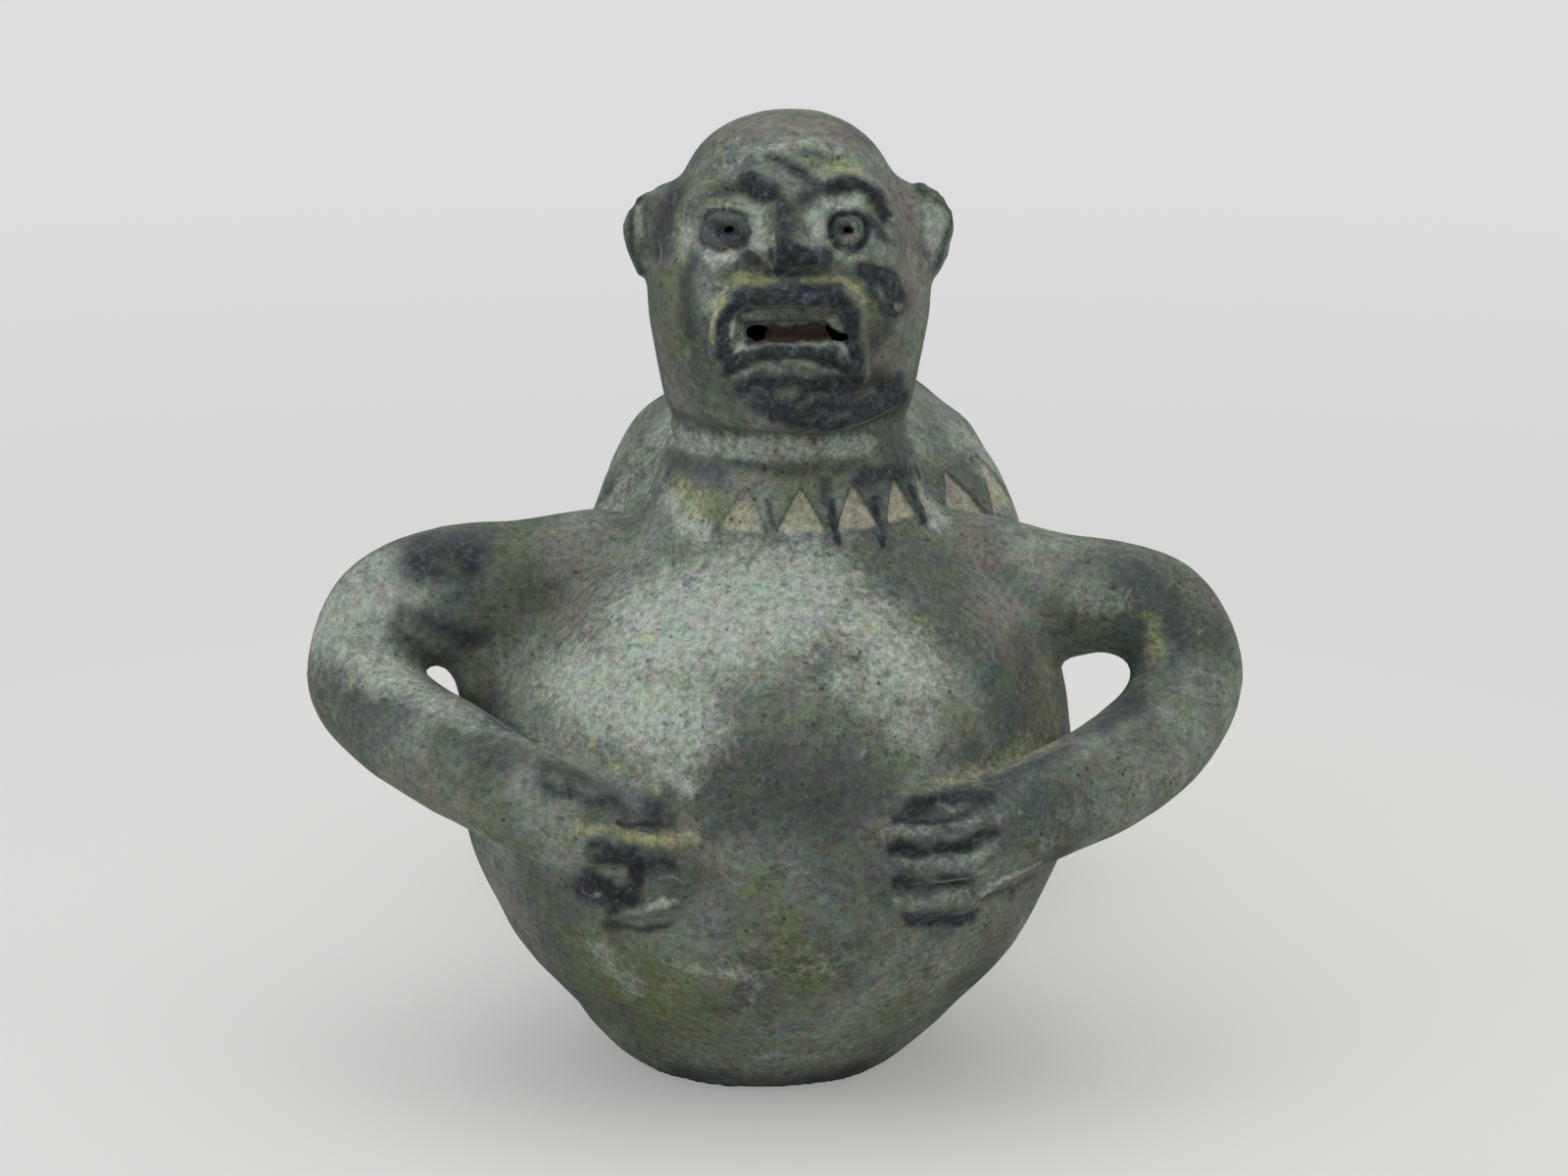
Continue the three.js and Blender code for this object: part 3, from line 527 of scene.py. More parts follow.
FACE_HOLLOWS = [
    (22, -2.0, 2, (728, 238), (752, 236)), (20, -1.9, 2, (852, 236), (876, 234)),
    (11, -1.1, 2, (774, 226), (776, 246)), (11, -1.1, 2, (826, 226), (830, 244)),
    (4.5, -1.6, 2, (783, 248), (781, 264), (785, 278)),
    (6, -1.2, 2, (790, 282), (815, 283), (845, 281)), (5, -0.7, 2, (830, 250), (829, 262)),
    (8, -1.3, 2, (748, 288), (775, 287), (795, 289)),
    (8, -1.3, 2, (812, 288), (838, 286), (862, 286)),
    (8, -1.3, 2, (852, 270), (868, 284), (882, 306), (888, 340), (890, 378), (888, 402)),
    (8, -1.3, 2, (752, 278), (733, 300), (722, 328), (718, 360), (724, 392)),
    (6, -0.9, 2, (746, 386), (770, 376), (800, 371), (833, 373), (862, 386)),
    (5, -0.6, 2, (728, 182), (750, 170), (786, 163), (818, 160), (852, 163)),
    (5, -0.8, 2, (790, 158), (802, 166), (812, 176)),
    (4, -0.6, 2, (824, 174), (838, 167), (853, 164)),
    (9, -1.5, 2, (655, 215), (654, 235), (660, 258)),
    (10, -1.6, 2, (948, 216), (949, 236), (944, 256)),
    (5, -0.7, 2, (668, 205), (665, 235), (671, 268)),
    (6, -0.9, 2, (925, 196), (932, 228), (934, 262), (938, 285)),
    (6, -0.8, 2, (690, 428), (720, 437), (760, 444)),
    (7, -1.6, 2, (780, 446), (835, 447), (878, 440), (912, 424)),
]
HAND_RIDGES = [
    (14, 0.9, 2, (560, 800), (610, 812), (660, 830), (690, 838)),
    (11, 1.4, 3, (600, 820), (640, 823), (674, 832)),
    (13, 1.8, 3, (604, 868), (622, 868), (642, 872)),
    (10, 2.0, 2.4, (630, 851), (664, 859), (700, 858)), (9, 1.4, 3, (604, 904), (622, 909)),
    (8, 1.6, 3, (640, 931), (660, 926), (692, 920)),
    (12, 1.4, 2, (920, 818), (955, 814), (1004, 818)),
    (10, 1.8, 2.4, (908, 853), (945, 853), (988, 849), (1010, 843)),
    (9.5, 1.7, 2.4, (920, 887), (955, 887), (990, 883), (1008, 873)),
    (9.5, 1.6, 2.4, (920, 924), (955, 924), (990, 918)),
    (5, 0.8, 3, (996, 912), (1024, 898), (1060, 879), (1090, 866)),
]
HAND_HOLLOWS = [
    (5, -1.2, 2, (598, 842), (640, 843), (682, 847)),
    (5, -1.2, 2, (600, 888), (628, 890), (652, 886), (688, 888)),
    (9, -1.3, 2, (652, 890), (640, 906), (622, 922)),
    (4, -0.7, 2, (650, 918), (670, 917), (690, 912)),
    (6, -1.1, 2, (620, 946), (655, 946), (684, 940)),
    (5.5, -1.2, 2, (914, 836), (950, 836), (988, 832)),
    (5.5, -1.2, 2, (914, 871), (950, 872), (990, 866), (1008, 857)),
    (5.5, -1.2, 2, (918, 907), (950, 908), (988, 902)),
    (7, -1.1, 2, (922, 946), (955, 946), (992, 937)),
    (5, -0.9, 2, (1000, 922), (1030, 908), (1066, 888)),
    (4, -0.8, 2, (1000, 796), (1045, 776), (1092, 752)),
    (3, -0.7, 2, (495, 740), (525, 753), (553, 769)),
]
# The gums and the tongue lie back from the lips, and the clay is cut through beside the tongue
GUMS = [
    (748, 352), (752, 324), (762, 314), (800, 312), (848, 314), (860, 328), (866, 352), (842, 350),
    (800, 346), (766, 350),
]
GUMS_DEPTH = 3.2
TONGUE = [(760, 333), (800, 331), (842, 332), (852, 344), (846, 351), (800, 352), (762, 349)]
TONGUE_DEPTH = 2.2
CUTS = [
    [(761, 339), (766, 333), (776, 332), (784, 335), (783, 341), (774, 346), (764, 344)],
    [(842, 332), (849, 333), (854, 338), (864, 341), (864, 347), (853, 346), (847, 343)],
]
# Middle and half size of each eye pellet, and the middle of its pupil
EYES = [((741, 235), (24.0, 19.5), (747.5, 237)), ((865, 236), (16.6, 17.6), (862, 238))]
EYE_HEIGHT = 1.5
PUPIL_RADIUS = 4.6
PUPIL_DEPTH = 5.0


def picture(co):
    """Where points of the pot fall in the camera's picture, in its pixels."""
    away = co - np.array(CAMERA_PLACE)
    depth = away @ np.array([0, math.cos(CAMERA_TILT), -math.sin(CAMERA_TILT)])
    up = away @ np.array([0, math.sin(CAMERA_TILT), math.cos(CAMERA_TILT)])
    u = PICTURE_WIDTH / 2 + FOCAL_PIXELS * away[:, 0] / depth
    v = PICTURE_HEIGHT / 2 - FOCAL_PIXELS * up / depth
    return np.stack([u, v], 1)


def to_line(spots, line):
    """Distance of each spot from the straight stretches of a line."""
    away = np.full(len(spots), 1e9)
    for a, b in zip(line, line[1:]):
        ab = b - a
        t = np.clip((spots - a) @ ab / max(ab @ ab, 1e-9), 0, 1)
        away = np.minimum(away, np.linalg.norm(spots - a - t[:, None] * ab, axis=1))
    return away


def mark(spots, seen, line, reach, crisp):
    """How strongly a mark drawn along a line touches each spot, 0 to 1."""
    line = np.asarray(line, float)
    low, high = line.min(0) - 2.6 * reach, line.max(0) + 2.6 * reach
    inside = np.flatnonzero((seen > 0) & np.all((spots > low) & (spots < high), axis=1))
    if len(line) > 2:
        line = curve_through(line, 6 * len(line))
    touch = np.zeros(len(spots))
    touch[inside] = seen[inside] * np.exp(-(to_line(spots[inside], line) / reach) ** crisp)
    return touch


def inside_by(spots, outline):
    """How far inside a closed outline each spot lies, below zero outside it."""
    closed = np.array(outline + outline[:1], float)
    inside = np.zeros(len(spots), bool)
    for a, b in zip(closed, closed[1:]):
        if a[1] != b[1]:
            crosses = (a[1] > spots[:, 1]) != (b[1] > spots[:, 1])
            edge = a[0] + (spots[:, 1] - a[1]) / (b[1] - a[1]) * (b[0] - a[0])
            inside ^= crosses & (spots[:, 0] < edge)
    return to_line(spots, closed) * np.where(inside, 1, -1)


def facing(co, no):
    """How squarely each point faces the camera: 0 edge-on or turned away, 1 well in view."""
    to_camera = np.array(CAMERA_PLACE) - co
    return smooth_step(np.sum(no * to_camera, axis=1) / np.linalg.norm(to_camera, axis=1), 0.0, 0.25)


def model(mesh, marks, box):
    """Raises and presses the marks in the clay that lies in the box."""
    co, no = read(mesh)
    spots = picture(co)
    seen = facing(co, no) * within(co, box)
    for reach, height, crisp, *line in marks:
        co += no * (height * mark(spots, seen, line, reach, crisp))[:, None]
    put(mesh, co)


def rolling(co):
    """Soft noise at each point, from about -0.6 to 0.6."""
    return np.array([noise.noise(Vector(p)) for p in co])


co, no = read(skin.data)
for size, height in UNEVEN:
    co += no * (height * (rolling(co / size) - 0.3))[:, None]
put(skin.data, co)

model(skin.data, FACE_RIDGES + FACE_HOLLOWS, HEAD_BOX)
model(skin.data, HAND_RIDGES + HAND_HOLLOWS, FOREARM_BOX)
co, no = read(skin.data)
wiped(skin, WORKED * within(co, HEAD_BOX, FOREARM_BOX), WORKED_WIPES)

co, no = read(skin.data)
spots = picture(co)
seen = (no[:, 1] < 0.2) & (co[:, 1] < FACE_FRONT) & (co[:, 2] > FACE_FOOT)
co[:, 1] += GUMS_DEPTH * seen * smooth_step(inside_by(spots, GUMS), -1.5, 4.0)
co[:, 1] += TONGUE_DEPTH * seen * smooth_step(inside_by(spots, TONGUE), -3.0, 2.0)
for middle, half, pupil in EYES:
    away = np.hypot(*((spots - middle) / half).T)
    disc = 1 - smooth_step(away, 0.82, 1.02)
    rim = np.exp(-((away - 1.08) / 0.12) ** 2)
    hole = 1 - smooth_step(np.hypot(*(spots - pupil).T), PUPIL_RADIUS * 0.6, PUPIL_RADIUS * 1.25)
    co += no * ((EYE_HEIGHT * disc - 0.5 * rim) * seen)[:, None]
    co[:, 1] += PUPIL_DEPTH * hole * seen
put(skin.data, co)

# Sawtooth bands and the neck groove
# Triangles pressed into the leather-hard clay with a wedge, fifteen round the neck and fifteen
# round the shoulder of the rear chamber, and one line ruled under the chin.

TOOTH_COUNT = 15
# Foot and height of the triangles, half their width and their turn round the axis in degrees
NECK_TEETH = {"axis": (LEAN, 0.0), "foot": 133.0, "height": 11.0, "half": 10.6, "turn": 5.0}
REAR_TEETH = {"axis": REAR_PLACE, "foot": 100.0, "height": 15.0, "half": 11.0, "turn": 4.0}
TOOTH_DEPTH = 0.9
# The front pot ends before the first of these, and the rear pot begins after the second
POT_BACK = 50
POT_FRONT = 84
NECK_REACH = 40
GROOVE_HEIGHT = 149.8
GROOVE_WIDTH = 1.0
GROOVE_DEPTH = 1.1
# The clay that the ruling tool pushed up above its line
WELT_ABOVE = 2.6
WELT_WIDTH = 1.2
WELT_RISE = 0.5
# Clay lower than this was pressed flat on the board
FLAT_FOOT = 0.25


def teeth(co, axis, foot, height, half, turn):
    """How deep inside a pressed triangle each point lies, and how near its cut sides for painted
    shade, 0 to 1.
    """
    away = co[:, :2] - axis
    angle = np.degrees(np.arctan2(away[:, 0], -away[:, 1])) - turn
    pitch = 360 / TOOTH_COUNT
    across = np.abs((angle + pitch / 2) % pitch - pitch / 2)
    up = (co[:, 2] - foot) / height
    side = half * (1 - np.clip(up, 0, 1) ** 1.25) - across
    edge = np.minimum(side, (1 - up) * height * 1.4)
    inside = smooth_step(edge, -0.4, 0.9) * smooth_step(up * height, -0.5, 2.5)
    cut = np.exp(-((side + 0.2) / 0.9) ** 2) * ((up > 0.02) & (up < 1))
    return inside, cut


co, no = read(skin.data)
pressed = np.zeros(len(co))
# How near each point is to a triangle's cut side, where a dark line is painted as shade
cut_shade = np.zeros(len(co))
for band, there in ((NECK_TEETH, co[:, 1] < POT_BACK), (REAR_TEETH, co[:, 1] > POT_FRONT)):
    inside, cut = teeth(co, **band)
    co -= no * (TOOTH_DEPTH * inside * there)[:, None]
    pressed = np.maximum(pressed, inside * there)
    cut_shade = np.maximum(cut_shade, cut * there)
near_neck = np.hypot(co[:, 0] - LEAN, co[:, 1]) < NECK_REACH
groove = np.exp(-((co[:, 2] - GROOVE_HEIGHT) / GROOVE_WIDTH) ** 2) * near_neck
welt = np.exp(-((co[:, 2] - GROOVE_HEIGHT - WELT_ABOVE) / WELT_WIDTH) ** 2) * near_neck
co += no * (WELT_RISE * welt - GROOVE_DEPTH * groove)[:, None]
co[:, 2] = np.where(co[:, 2] < FLAT_FOOT, 0.0, co[:, 2])
to_pot = TO_ROW.inverted()
co = np.clip(co, to_pot @ Vector(cad_box[0]), to_pot @ Vector(cad_box[1]))
put(skin.data, co)

# Slip and smoke
# The pot was coated with green-grey slip, smoked in the kiln and rubbed with a cloth. Carbon lies
# dark on the raised features, ochre earth stays in the folds, the pressed triangles are painted pale
# with painted shade along their cut sides, and the chest is rubbed pale. Painted shade also lies in
# the finger grooves, under the finger rolls, in the armpits, under the forearm band, along the jaw
# and under the nose, with painted highlights on the finger tops and the nose. Each stain is kept
# with the clay as a number from 0 to 1 at every point.

# Each stroke's reach in pixels, its strength, and the points of its line
# Soot, and painted shade along the left jaw and under the nose
FACE_SMOKE_AND_SHADE = [
    (19, 1.0, (764, 187), (784, 198)), (8, 0.55, (705, 210), (722, 198), (748, 190), (770, 186)),
    (7, 0.75, (786, 162), (799, 165)), (11, 0.8, (804, 170), (818, 180), (834, 190)),
    (5, 0.6, (820, 157), (838, 159)), (5, 0.45, (836, 168), (858, 160)),
    (12, 0.7, (816, 205), (832, 194), (850, 190)),
    (11, 0.95, (848, 189), (876, 189), (895, 202), (902, 220)), (9, 0.8, (886, 222), (900, 242)),
    (15, 0.8, (800, 210), (803, 240)), (14, 0.95, (800, 250), (798, 270)),
    (17, 1.0, (812, 262), (839, 263)), (7, 0.9, (788, 256), (785, 270), (794, 278)),
    (13, 0.95, (764, 262), (768, 267)), (8, 0.7, (800, 279), (840, 278)),
    (17, 0.95, (732, 235), (746, 236)),
    (4, 0.7, (714, 235), (722, 219), (741, 215), (758, 221), (763, 236), (756, 249), (738, 254),
        (720, 248), (714, 235)),
    (14, 0.95, (863, 236), (868, 235)),
    (6, 0.95, (850, 240), (851, 228), (858, 219), (868, 217), (880, 221), (885, 234), (880, 248),
        (866, 254), (854, 250)),
    (17, 1.0, (884, 277), (902, 283), (912, 298), (911, 312)), (12, 0.85, (878, 272), (892, 272)),
    (15, 0.85, (892, 292), (906, 312)), (14, 0.7, (908, 318), (902, 342)),
    (15, 0.6, (898, 330), (892, 352)), (10, 1.0, (738, 366), (739, 334), (748, 312), (766, 304)),
    (15, 1.0, (760, 302), (780, 301), (800, 304), (846, 300), (860, 306)),
    (2.6, 0.95, (780, 335), (790, 333), (806, 334), (824, 332), (844, 333)),
    (3, 0.6, (784, 336), (783, 346)), (8, 0.5, (772, 322), (800, 321), (842, 323)),
    (8, 0.6, (797, 289), (807, 289)), (10, 1.0, (862, 312), (870, 334), (873, 376)),
    (11, 0.95, (742, 374), (763, 364), (791, 359), (819, 360), (846, 366), (864, 376)),
    (15, 0.95, (760, 396), (790, 391), (820, 394), (850, 392), (876, 392)),
    (27, 1.0, (782, 406), (830, 412), (880, 408), (908, 400)), (16, 0.9, (890, 398), (916, 390)),
    (14, 0.95, (790, 424), (850, 430), (890, 420), (922, 402)), (20, 0.45, (730, 398), (760, 402)),
    (14, 0.7, (706, 262), (700, 300), (704, 340)), (8, 0.5, (686, 420), (712, 433), (760, 444)),
    (5, 0.75, (653, 198), (644, 220), (645, 248), (654, 276)),
    (4, 0.6, (661, 204), (660, 236), (664, 262)),
    (5, 0.7, (936, 190), (955, 199), (970, 220), (966, 246), (956, 270)),
    (5, 0.5, (940, 206), (940, 240), (944, 262)), (17, 0.75, (690, 196), (680, 222), (676, 256)),
    (12, 0.4, (676, 290), (684, 360)),
    (6, 0.5, (704, 166), (722, 140), (752, 122), (800, 114), (850, 122), (888, 146)),
    (3, 0.45, (722, 152), (776, 134), (846, 138)), (3, 0.4, (742, 128), (800, 122), (862, 134)),
    (3, 0.4, (842, 150), (874, 158)), (12, 0.45, (902, 196), (918, 236), (920, 262)),
    (10, 0.45, (880, 350), (884, 380)), (16, 0.4, (930, 320), (925, 370)),
]
# Rubbed pale clay, and a painted highlight down the left edge of the nose
FACE_PALE_AND_HIGHLIGHTS = [
    (15, 0.65, (733, 296), (728, 318)), (8, 0.8, (756, 202), (784, 207)),
    (8, 0.5, (757, 381), (785, 375), (810, 373), (838, 376), (858, 383)),
    (12, 1.0, (770, 216), (775, 248)), (11, 0.8, (724, 262), (748, 262)),
    (13, 1.0, (832, 222), (835, 250)), (10, 0.6, (862, 260), (874, 262)),
    (9, 0.8, (842, 206), (880, 204)), (7, 0.6, (724, 212), (748, 210), (764, 216)),
    (7, 0.5, (758, 322), (784, 320)), (9, 1.0, (852, 330), (858, 346), (860, 357)),
    (8, 1.0, (752, 334), (751, 354)), (4, 0.9, (757, 352), (800, 350), (858, 353)),
    (5, 0.5, (750, 384), (775, 374), (805, 370), (835, 374), (862, 386)),
    (17, 1.0, (953, 212), (955, 242)), (7, 0.9, (651, 216), (650, 240)),
    (9, 0.5, (735, 172), (771, 158), (822, 148), (868, 160)), (10, 0.5, (700, 236), (704, 262)),
    (5, 0.7, (789, 245), (786, 262)), (10, 0.4, (800, 395), (830, 400)),
]
FACE_OCHRE = [
    (7, 1.0, (750, 286), (765, 286), (783, 288)), (6, 0.9, (820, 287), (845, 285), (865, 288)),
    (5, 0.8, (714, 208), (727, 203), (740, 208)), (6, 0.8, (730, 345), (729, 322), (738, 300)),
    (14, 0.35, (735, 155), (755, 146)), (12, 0.5, (852, 168), (872, 172)),
    (10, 0.6, (872, 290), (882, 306)), (12, 0.5, (690, 226), (692, 260)),
    (12, 0.4, (776, 204), (786, 212)),
]
FACE_RUST = [
    (8, 1.2, (782, 341), (800, 341), (842, 341)), (5, 0.8, (762, 347), (780, 347)),
    (16, 0.5, (880, 390), (902, 380)), (10, 0.5, (760, 262), (768, 268)),
    (6, 0.5, (864, 236), (868, 240)),
]
FACE_BROWN = [
    (26, 0.8, (740, 130), (800, 124), (860, 134)), (20, 0.8, (672, 210), (672, 260)),
    (24, 0.5, (680, 330), (690, 400)), (20, 0.9, (912, 200), (928, 260), (926, 310)),
    (20, 0.7, (905, 350), (900, 372)), (14, 0.5, (746, 262), (760, 270)),
]
FACE_OLIVE = [
    (22, 0.9, (690, 280), (692, 350)), (14, 0.8, (700, 190), (730, 176)),
    (12, 0.8, (796, 208), (812, 216)), (13, 0.6, (800, 214), (802, 240)),
    (20, 0.6, (880, 340), (900, 372)), (22, 0.4, (700, 400), (724, 420)),
]
# Soot, and painted shade under and between the finger rolls, in the armpits and under the forearm
# band
BODY_SMOKE_AND_SHADE = [
    (78, 0.55, (800, 806), (872, 812)), (40, 0.35, (790, 720), (850, 730)),
    (38, 0.85, (430, 574), (476, 570)), (34, 0.5, (494, 590), (560, 600)),
    (14, 0.65, (412, 622), (408, 644), (424, 660)), (24, 0.7, (430, 630), (484, 652)),
    (17, 0.65, (480, 660), (500, 716)), (5, 0.7, (440, 690), (468, 708), (500, 730), (548, 758)),
    (15, 0.4, (336, 662), (346, 694)), (18, 0.45, (362, 712), (410, 728)),
    (26, 0.55, (460, 750), (512, 776)), (24, 0.7, (556, 790), (606, 812)),
    (16, 0.8, (560, 800), (596, 812), (645, 822), (672, 830)),
    (4, 0.8, (630, 840), (650, 841), (668, 842)), (20, 1.0, (612, 868), (636, 874), (648, 884)),
    (11, 0.75, (652, 881), (684, 884)), (5, 0.6, (650, 872), (680, 874)),
    (20, 1.0, (600, 904), (622, 912), (640, 914)), (11, 0.85, (652, 894), (640, 912), (622, 932)),
    (7, 0.75, (618, 942), (650, 946), (680, 942)), (4, 0.5, (655, 918), (688, 914)),
    (15, 0.85, (930, 822), (962, 816), (1006, 814)), (5, 0.8, (916, 836), (945, 837), (984, 833)),
    (10, 0.95, (914, 865), (945, 866), (986, 861)), (7, 0.8, (990, 858), (1016, 849)),
    (10, 0.9, (918, 901), (945, 902), (988, 898)), (11, 0.95, (926, 938), (955, 939), (990, 933)),
    (24, 0.3, (930, 870), (980, 900)), (5, 0.7, (962, 842), (968, 846)),
    (6, 0.7, (1000, 920), (1030, 908), (1056, 893)),
    (14, 0.6, (1010, 800), (1040, 788), (1090, 762)),
    (20, 0.5, (1092, 576), (1140, 579), (1178, 596), (1200, 626)),
    (20, 0.35, (1060, 600), (1090, 640)), (20, 0.5, (1190, 610), (1206, 650), (1190, 690)),
    (16, 0.7, (1160, 712), (1130, 740)), (40, 0.45, (1150, 770), (1060, 830)),
    (26, 0.4, (1230, 640), (1236, 700)), (22, 0.4, (520, 900), (560, 960)),
    (12, 0.55, (690, 1092), (790, 1104), (880, 1092)), (7, 0.6, (748, 472), (800, 480), (870, 478)),
    (22, 0.6, (690, 470), (730, 484)), (17, 0.8, (880, 488), (925, 480)),
    (10, 0.7, (840, 492), (846, 515)), (6, 1.0, (849, 512), (852, 552)),
    (6, 1.0, (892, 508), (897, 540), (904, 556)), (5, 1.0, (930, 498), (940, 530)),
    (5, 0.7, (784, 512), (788, 540)), (5, 0.5, (735, 505), (733, 540)),
    (26, 0.5, (1040, 660), (1060, 720)), (30, 0.4, (700, 900), (760, 930)),
    (9, 0.5, (714, 1030), (746, 1028)), (3, 0.7, (929, 1034), (936, 1029)),
]
# Rubbed pale clay, and painted highlights along the tops of the finger rolls
BODY_PALE_AND_HIGHLIGHTS = [
    (66, 0.95, (668, 640), (760, 622), (820, 606)), (55, 0.9, (600, 700), (690, 742)),
    (16, 0.8, (676, 782), (700, 800)), (46, 0.75, (880, 640), (930, 690)),
    (48, 1.0, (346, 640), (396, 600)), (26, 0.8, (344, 660), (380, 690)),
    (24, 0.7, (380, 662), (420, 706)), (20, 0.5, (1104, 614), (1142, 616)),
    (40, 0.6, (870, 690), (930, 744)), (16, 0.6, (400, 690), (480, 740)),
    (26, 0.35, (1060, 850), (1100, 820)), (2.4, 0.5, (672, 897), (688, 895), (700, 899)),
    (7, 0.75, (640, 930), (660, 926), (688, 920)), (9, 0.55, (910, 849), (945, 847)),
    (7, 0.4, (976, 842), (1022, 835)), (8, 0.45, (924, 881), (984, 878), (1006, 868)),
    (7, 0.45, (918, 919), (986, 914)), (3.5, 0.8, (998, 911), (1022, 899), (1062, 879)),
    (15, 0.75, (690, 450), (760, 458), (880, 455)), (18, 0.6, (946, 480), (956, 530)),
    (18, 0.85, (690, 510), (712, 540)), (30, 0.3, (760, 990), (860, 980)),
    (16, 0.5, (612, 972), (650, 1010)), (9, 0.45, (690, 984), (770, 1000), (765, 1030)),
    (6, 0.5, (776, 1080), (800, 1078), (832, 1080)), (7, 0.35, (700, 1085), (740, 1092)),
    (24, 0.35, (930, 1000), (966, 980)),
]
BODY_OCHRE = [
    (9, 0.7, (594, 840), (612, 846)), (11, 0.8, (630, 851), (664, 857), (702, 857)),
    (16, 0.4, (612, 775), (664, 806)), (18, 0.5, (960, 800), (1010, 784), (1070, 756)),
    (28, 0.35, (560, 700), (600, 760)), (20, 0.4, (905, 850), (895, 848)),
    (24, 0.6, (700, 500), (720, 520)), (24, 0.5, (1064, 690), (1074, 736)),
    (14, 0.7, (484, 670), (492, 706)), (14, 0.6, (1176, 634), (1180, 668)),
]
BODY_BROWN = [
    (40, 0.75, (580, 560), (596, 640)), (22, 0.75, (704, 846), (712, 872)),
    (12, 0.8, (628, 850), (700, 858)), (30, 0.8, (985, 545), (1004, 570)),
    (34, 0.7, (1012, 620), (1040, 660)), (22, 0.6, (640, 500), (660, 440)),
    (18, 0.6, (470, 850), (520, 920), (560, 980)), (30, 0.75, (1065, 690), (1068, 760)),
    (24, 0.55, (1010, 960), (1050, 900)), (22, 0.5, (1100, 545), (1180, 560), (1240, 620)),
    (24, 0.5, (905, 365), (915, 400)), (16, 0.6, (330, 600), (318, 660), (322, 720)),
    (20, 0.6, (400, 790), (470, 830)), (10, 0.6, (590, 846), (606, 852)),
]
BODY_OLIVE = [
    (60, 0.4, (560, 690), (600, 780)), (60, 0.9, (620, 980), (700, 1030)),
    (50, 0.7, (780, 930), (820, 1000)), (40, 0.5, (940, 1000), (900, 1040)),
    (50, 0.5, (860, 640), (940, 760)), (40, 0.7, (530, 560), (560, 620)),
    (30, 0.6, (420, 790), (500, 820)), (30, 0.6, (1080, 620), (1110, 640)),
    (30, 0.5, (790, 500), (860, 490)),
]
# Where a cloth went through the soot again to the pale clay, and painted highlights on the nose and
# the knuckles
RUBBED_AND_HIGHLIGHTS = [
    (9, 0.35, (794, 402), (806, 400)), (4, 0.4, (798, 398), (804, 402)),
    (8, 0.35, (816, 414), (828, 406)), (5, 0.3, (838, 402), (848, 408)),
    (7, 0.3, (872, 408), (890, 400)), (5, 0.3, (768, 398), (780, 402)),
    (6, 0.3, (850, 424), (866, 420)), (4, 0.45, (783, 250), (781, 264), (784, 274)),
    (3, 0.5, (792, 246), (794, 254)), (3, 0.6, (915, 310), (917, 312)),
    (4, 0.4, (896, 296), (900, 304)), (4, 0.5, (618, 888), (630, 890), (640, 887)),
    (3, 0.6, (608, 911), (612, 912)), (6, 0.35, (604, 870), (616, 868)),
    (5, 0.3, (626, 860), (636, 866)), (5, 0.35, (562, 792), (570, 798)),
    (6, 0.3, (592, 804), (604, 810)), (6, 0.3, (636, 818), (650, 826)),
    (3, 0.5, (956, 820), (964, 825), (976, 827)), (6, 0.3, (940, 864), (952, 862)),
    (6, 0.3, (936, 902), (952, 900)), (8, 0.3, (450, 574), (462, 580)),
    (4, 0.45, (870, 230), (872, 240), (862, 244)), (5, 0.3, (728, 240), (734, 246)),
]
# Worn parts of the sawtooth bands, where the marks are faint, and where only the painted shade on
# their cut sides is faint
WORN = [
    (34, 0.7, (686, 500), (704, 524)), (44, 0.6, (612, 500), (640, 470)),
    (50, 0.25, (980, 500), (1024, 520)),
]
CUT_SHADE_FAINT = [(30, 0.7, (690, 520), (752, 524))]
STROKES = {
    "smoke": (FACE_SMOKE_AND_SHADE, BODY_SMOKE_AND_SHADE), "pale": (FACE_PALE_AND_HIGHLIGHTS, BODY_PALE_AND_HIGHLIGHTS),
    "ochre": (FACE_OCHRE, BODY_OCHRE), "brown": (FACE_BROWN, BODY_BROWN),
    "olive": (FACE_OLIVE, BODY_OLIVE), "rust": (FACE_RUST, []),
}
# Clouds of smoke, pale clay and brown earth on the sides that the picture doesn't show: their
# size in millimetres, and the strength of each with the noise where it starts and is full
CLOUD = 26.0
SMOKE_CLOUD = (0.58, 0.08, 0.50)
PALE_CLOUD = (0.4, 0.02, 0.42)
BROWN_CLOUD = (0.7, 0.05, 0.45)
# How the strokes fray: size of the waver in millimetres, and its push in pixels
FRAY = [(6.0, 5.0), (1.8, 2.5)]
# A fold is full at this depth below a skin that was smoothed so many times
FOLD_DEPTH = 0.5
FOLD_EASING = 24
# The strokes on the body reach up and back so far
BODY_TOP = 156
BODY_BACK = 30


def stained(spots, seen, strokes):
    """How strongly the strokes stain each spot."""
    stain = np.zeros(len(spots))
    for reach, strength, *line in strokes:
        stain = np.maximum(stain, strength * mark(spots, seen, line, reach, 2.2))
    return stain


co, no = read(skin.data)
eased = skin.copy()
eased.data = skin.data.copy()
bpy.context.collection.objects.link(eased)
ease = eased.modifiers.new("ease", "SMOOTH")
ease.factor = 0.5
ease.iterations = FOLD_EASING
baked(eased)
flat_co, _ = read(eased.data)
bpy.data.objects.remove(eased)
fold = np.sum((flat_co - co) * no, axis=1)

spots = picture(co)
for size, push in FRAY:
    spots[:, 0] += push * rolling(co / size)
    spots[:, 1] += push * rolling(co / size + 40)
seen = facing(co, no)
on_face = seen * within(co, HEAD_BOX)
on_body = seen * ((co[:, 2] < BODY_TOP) & (co[:, 1] < BODY_BACK))
behind = 1 - np.maximum(on_face, on_body)
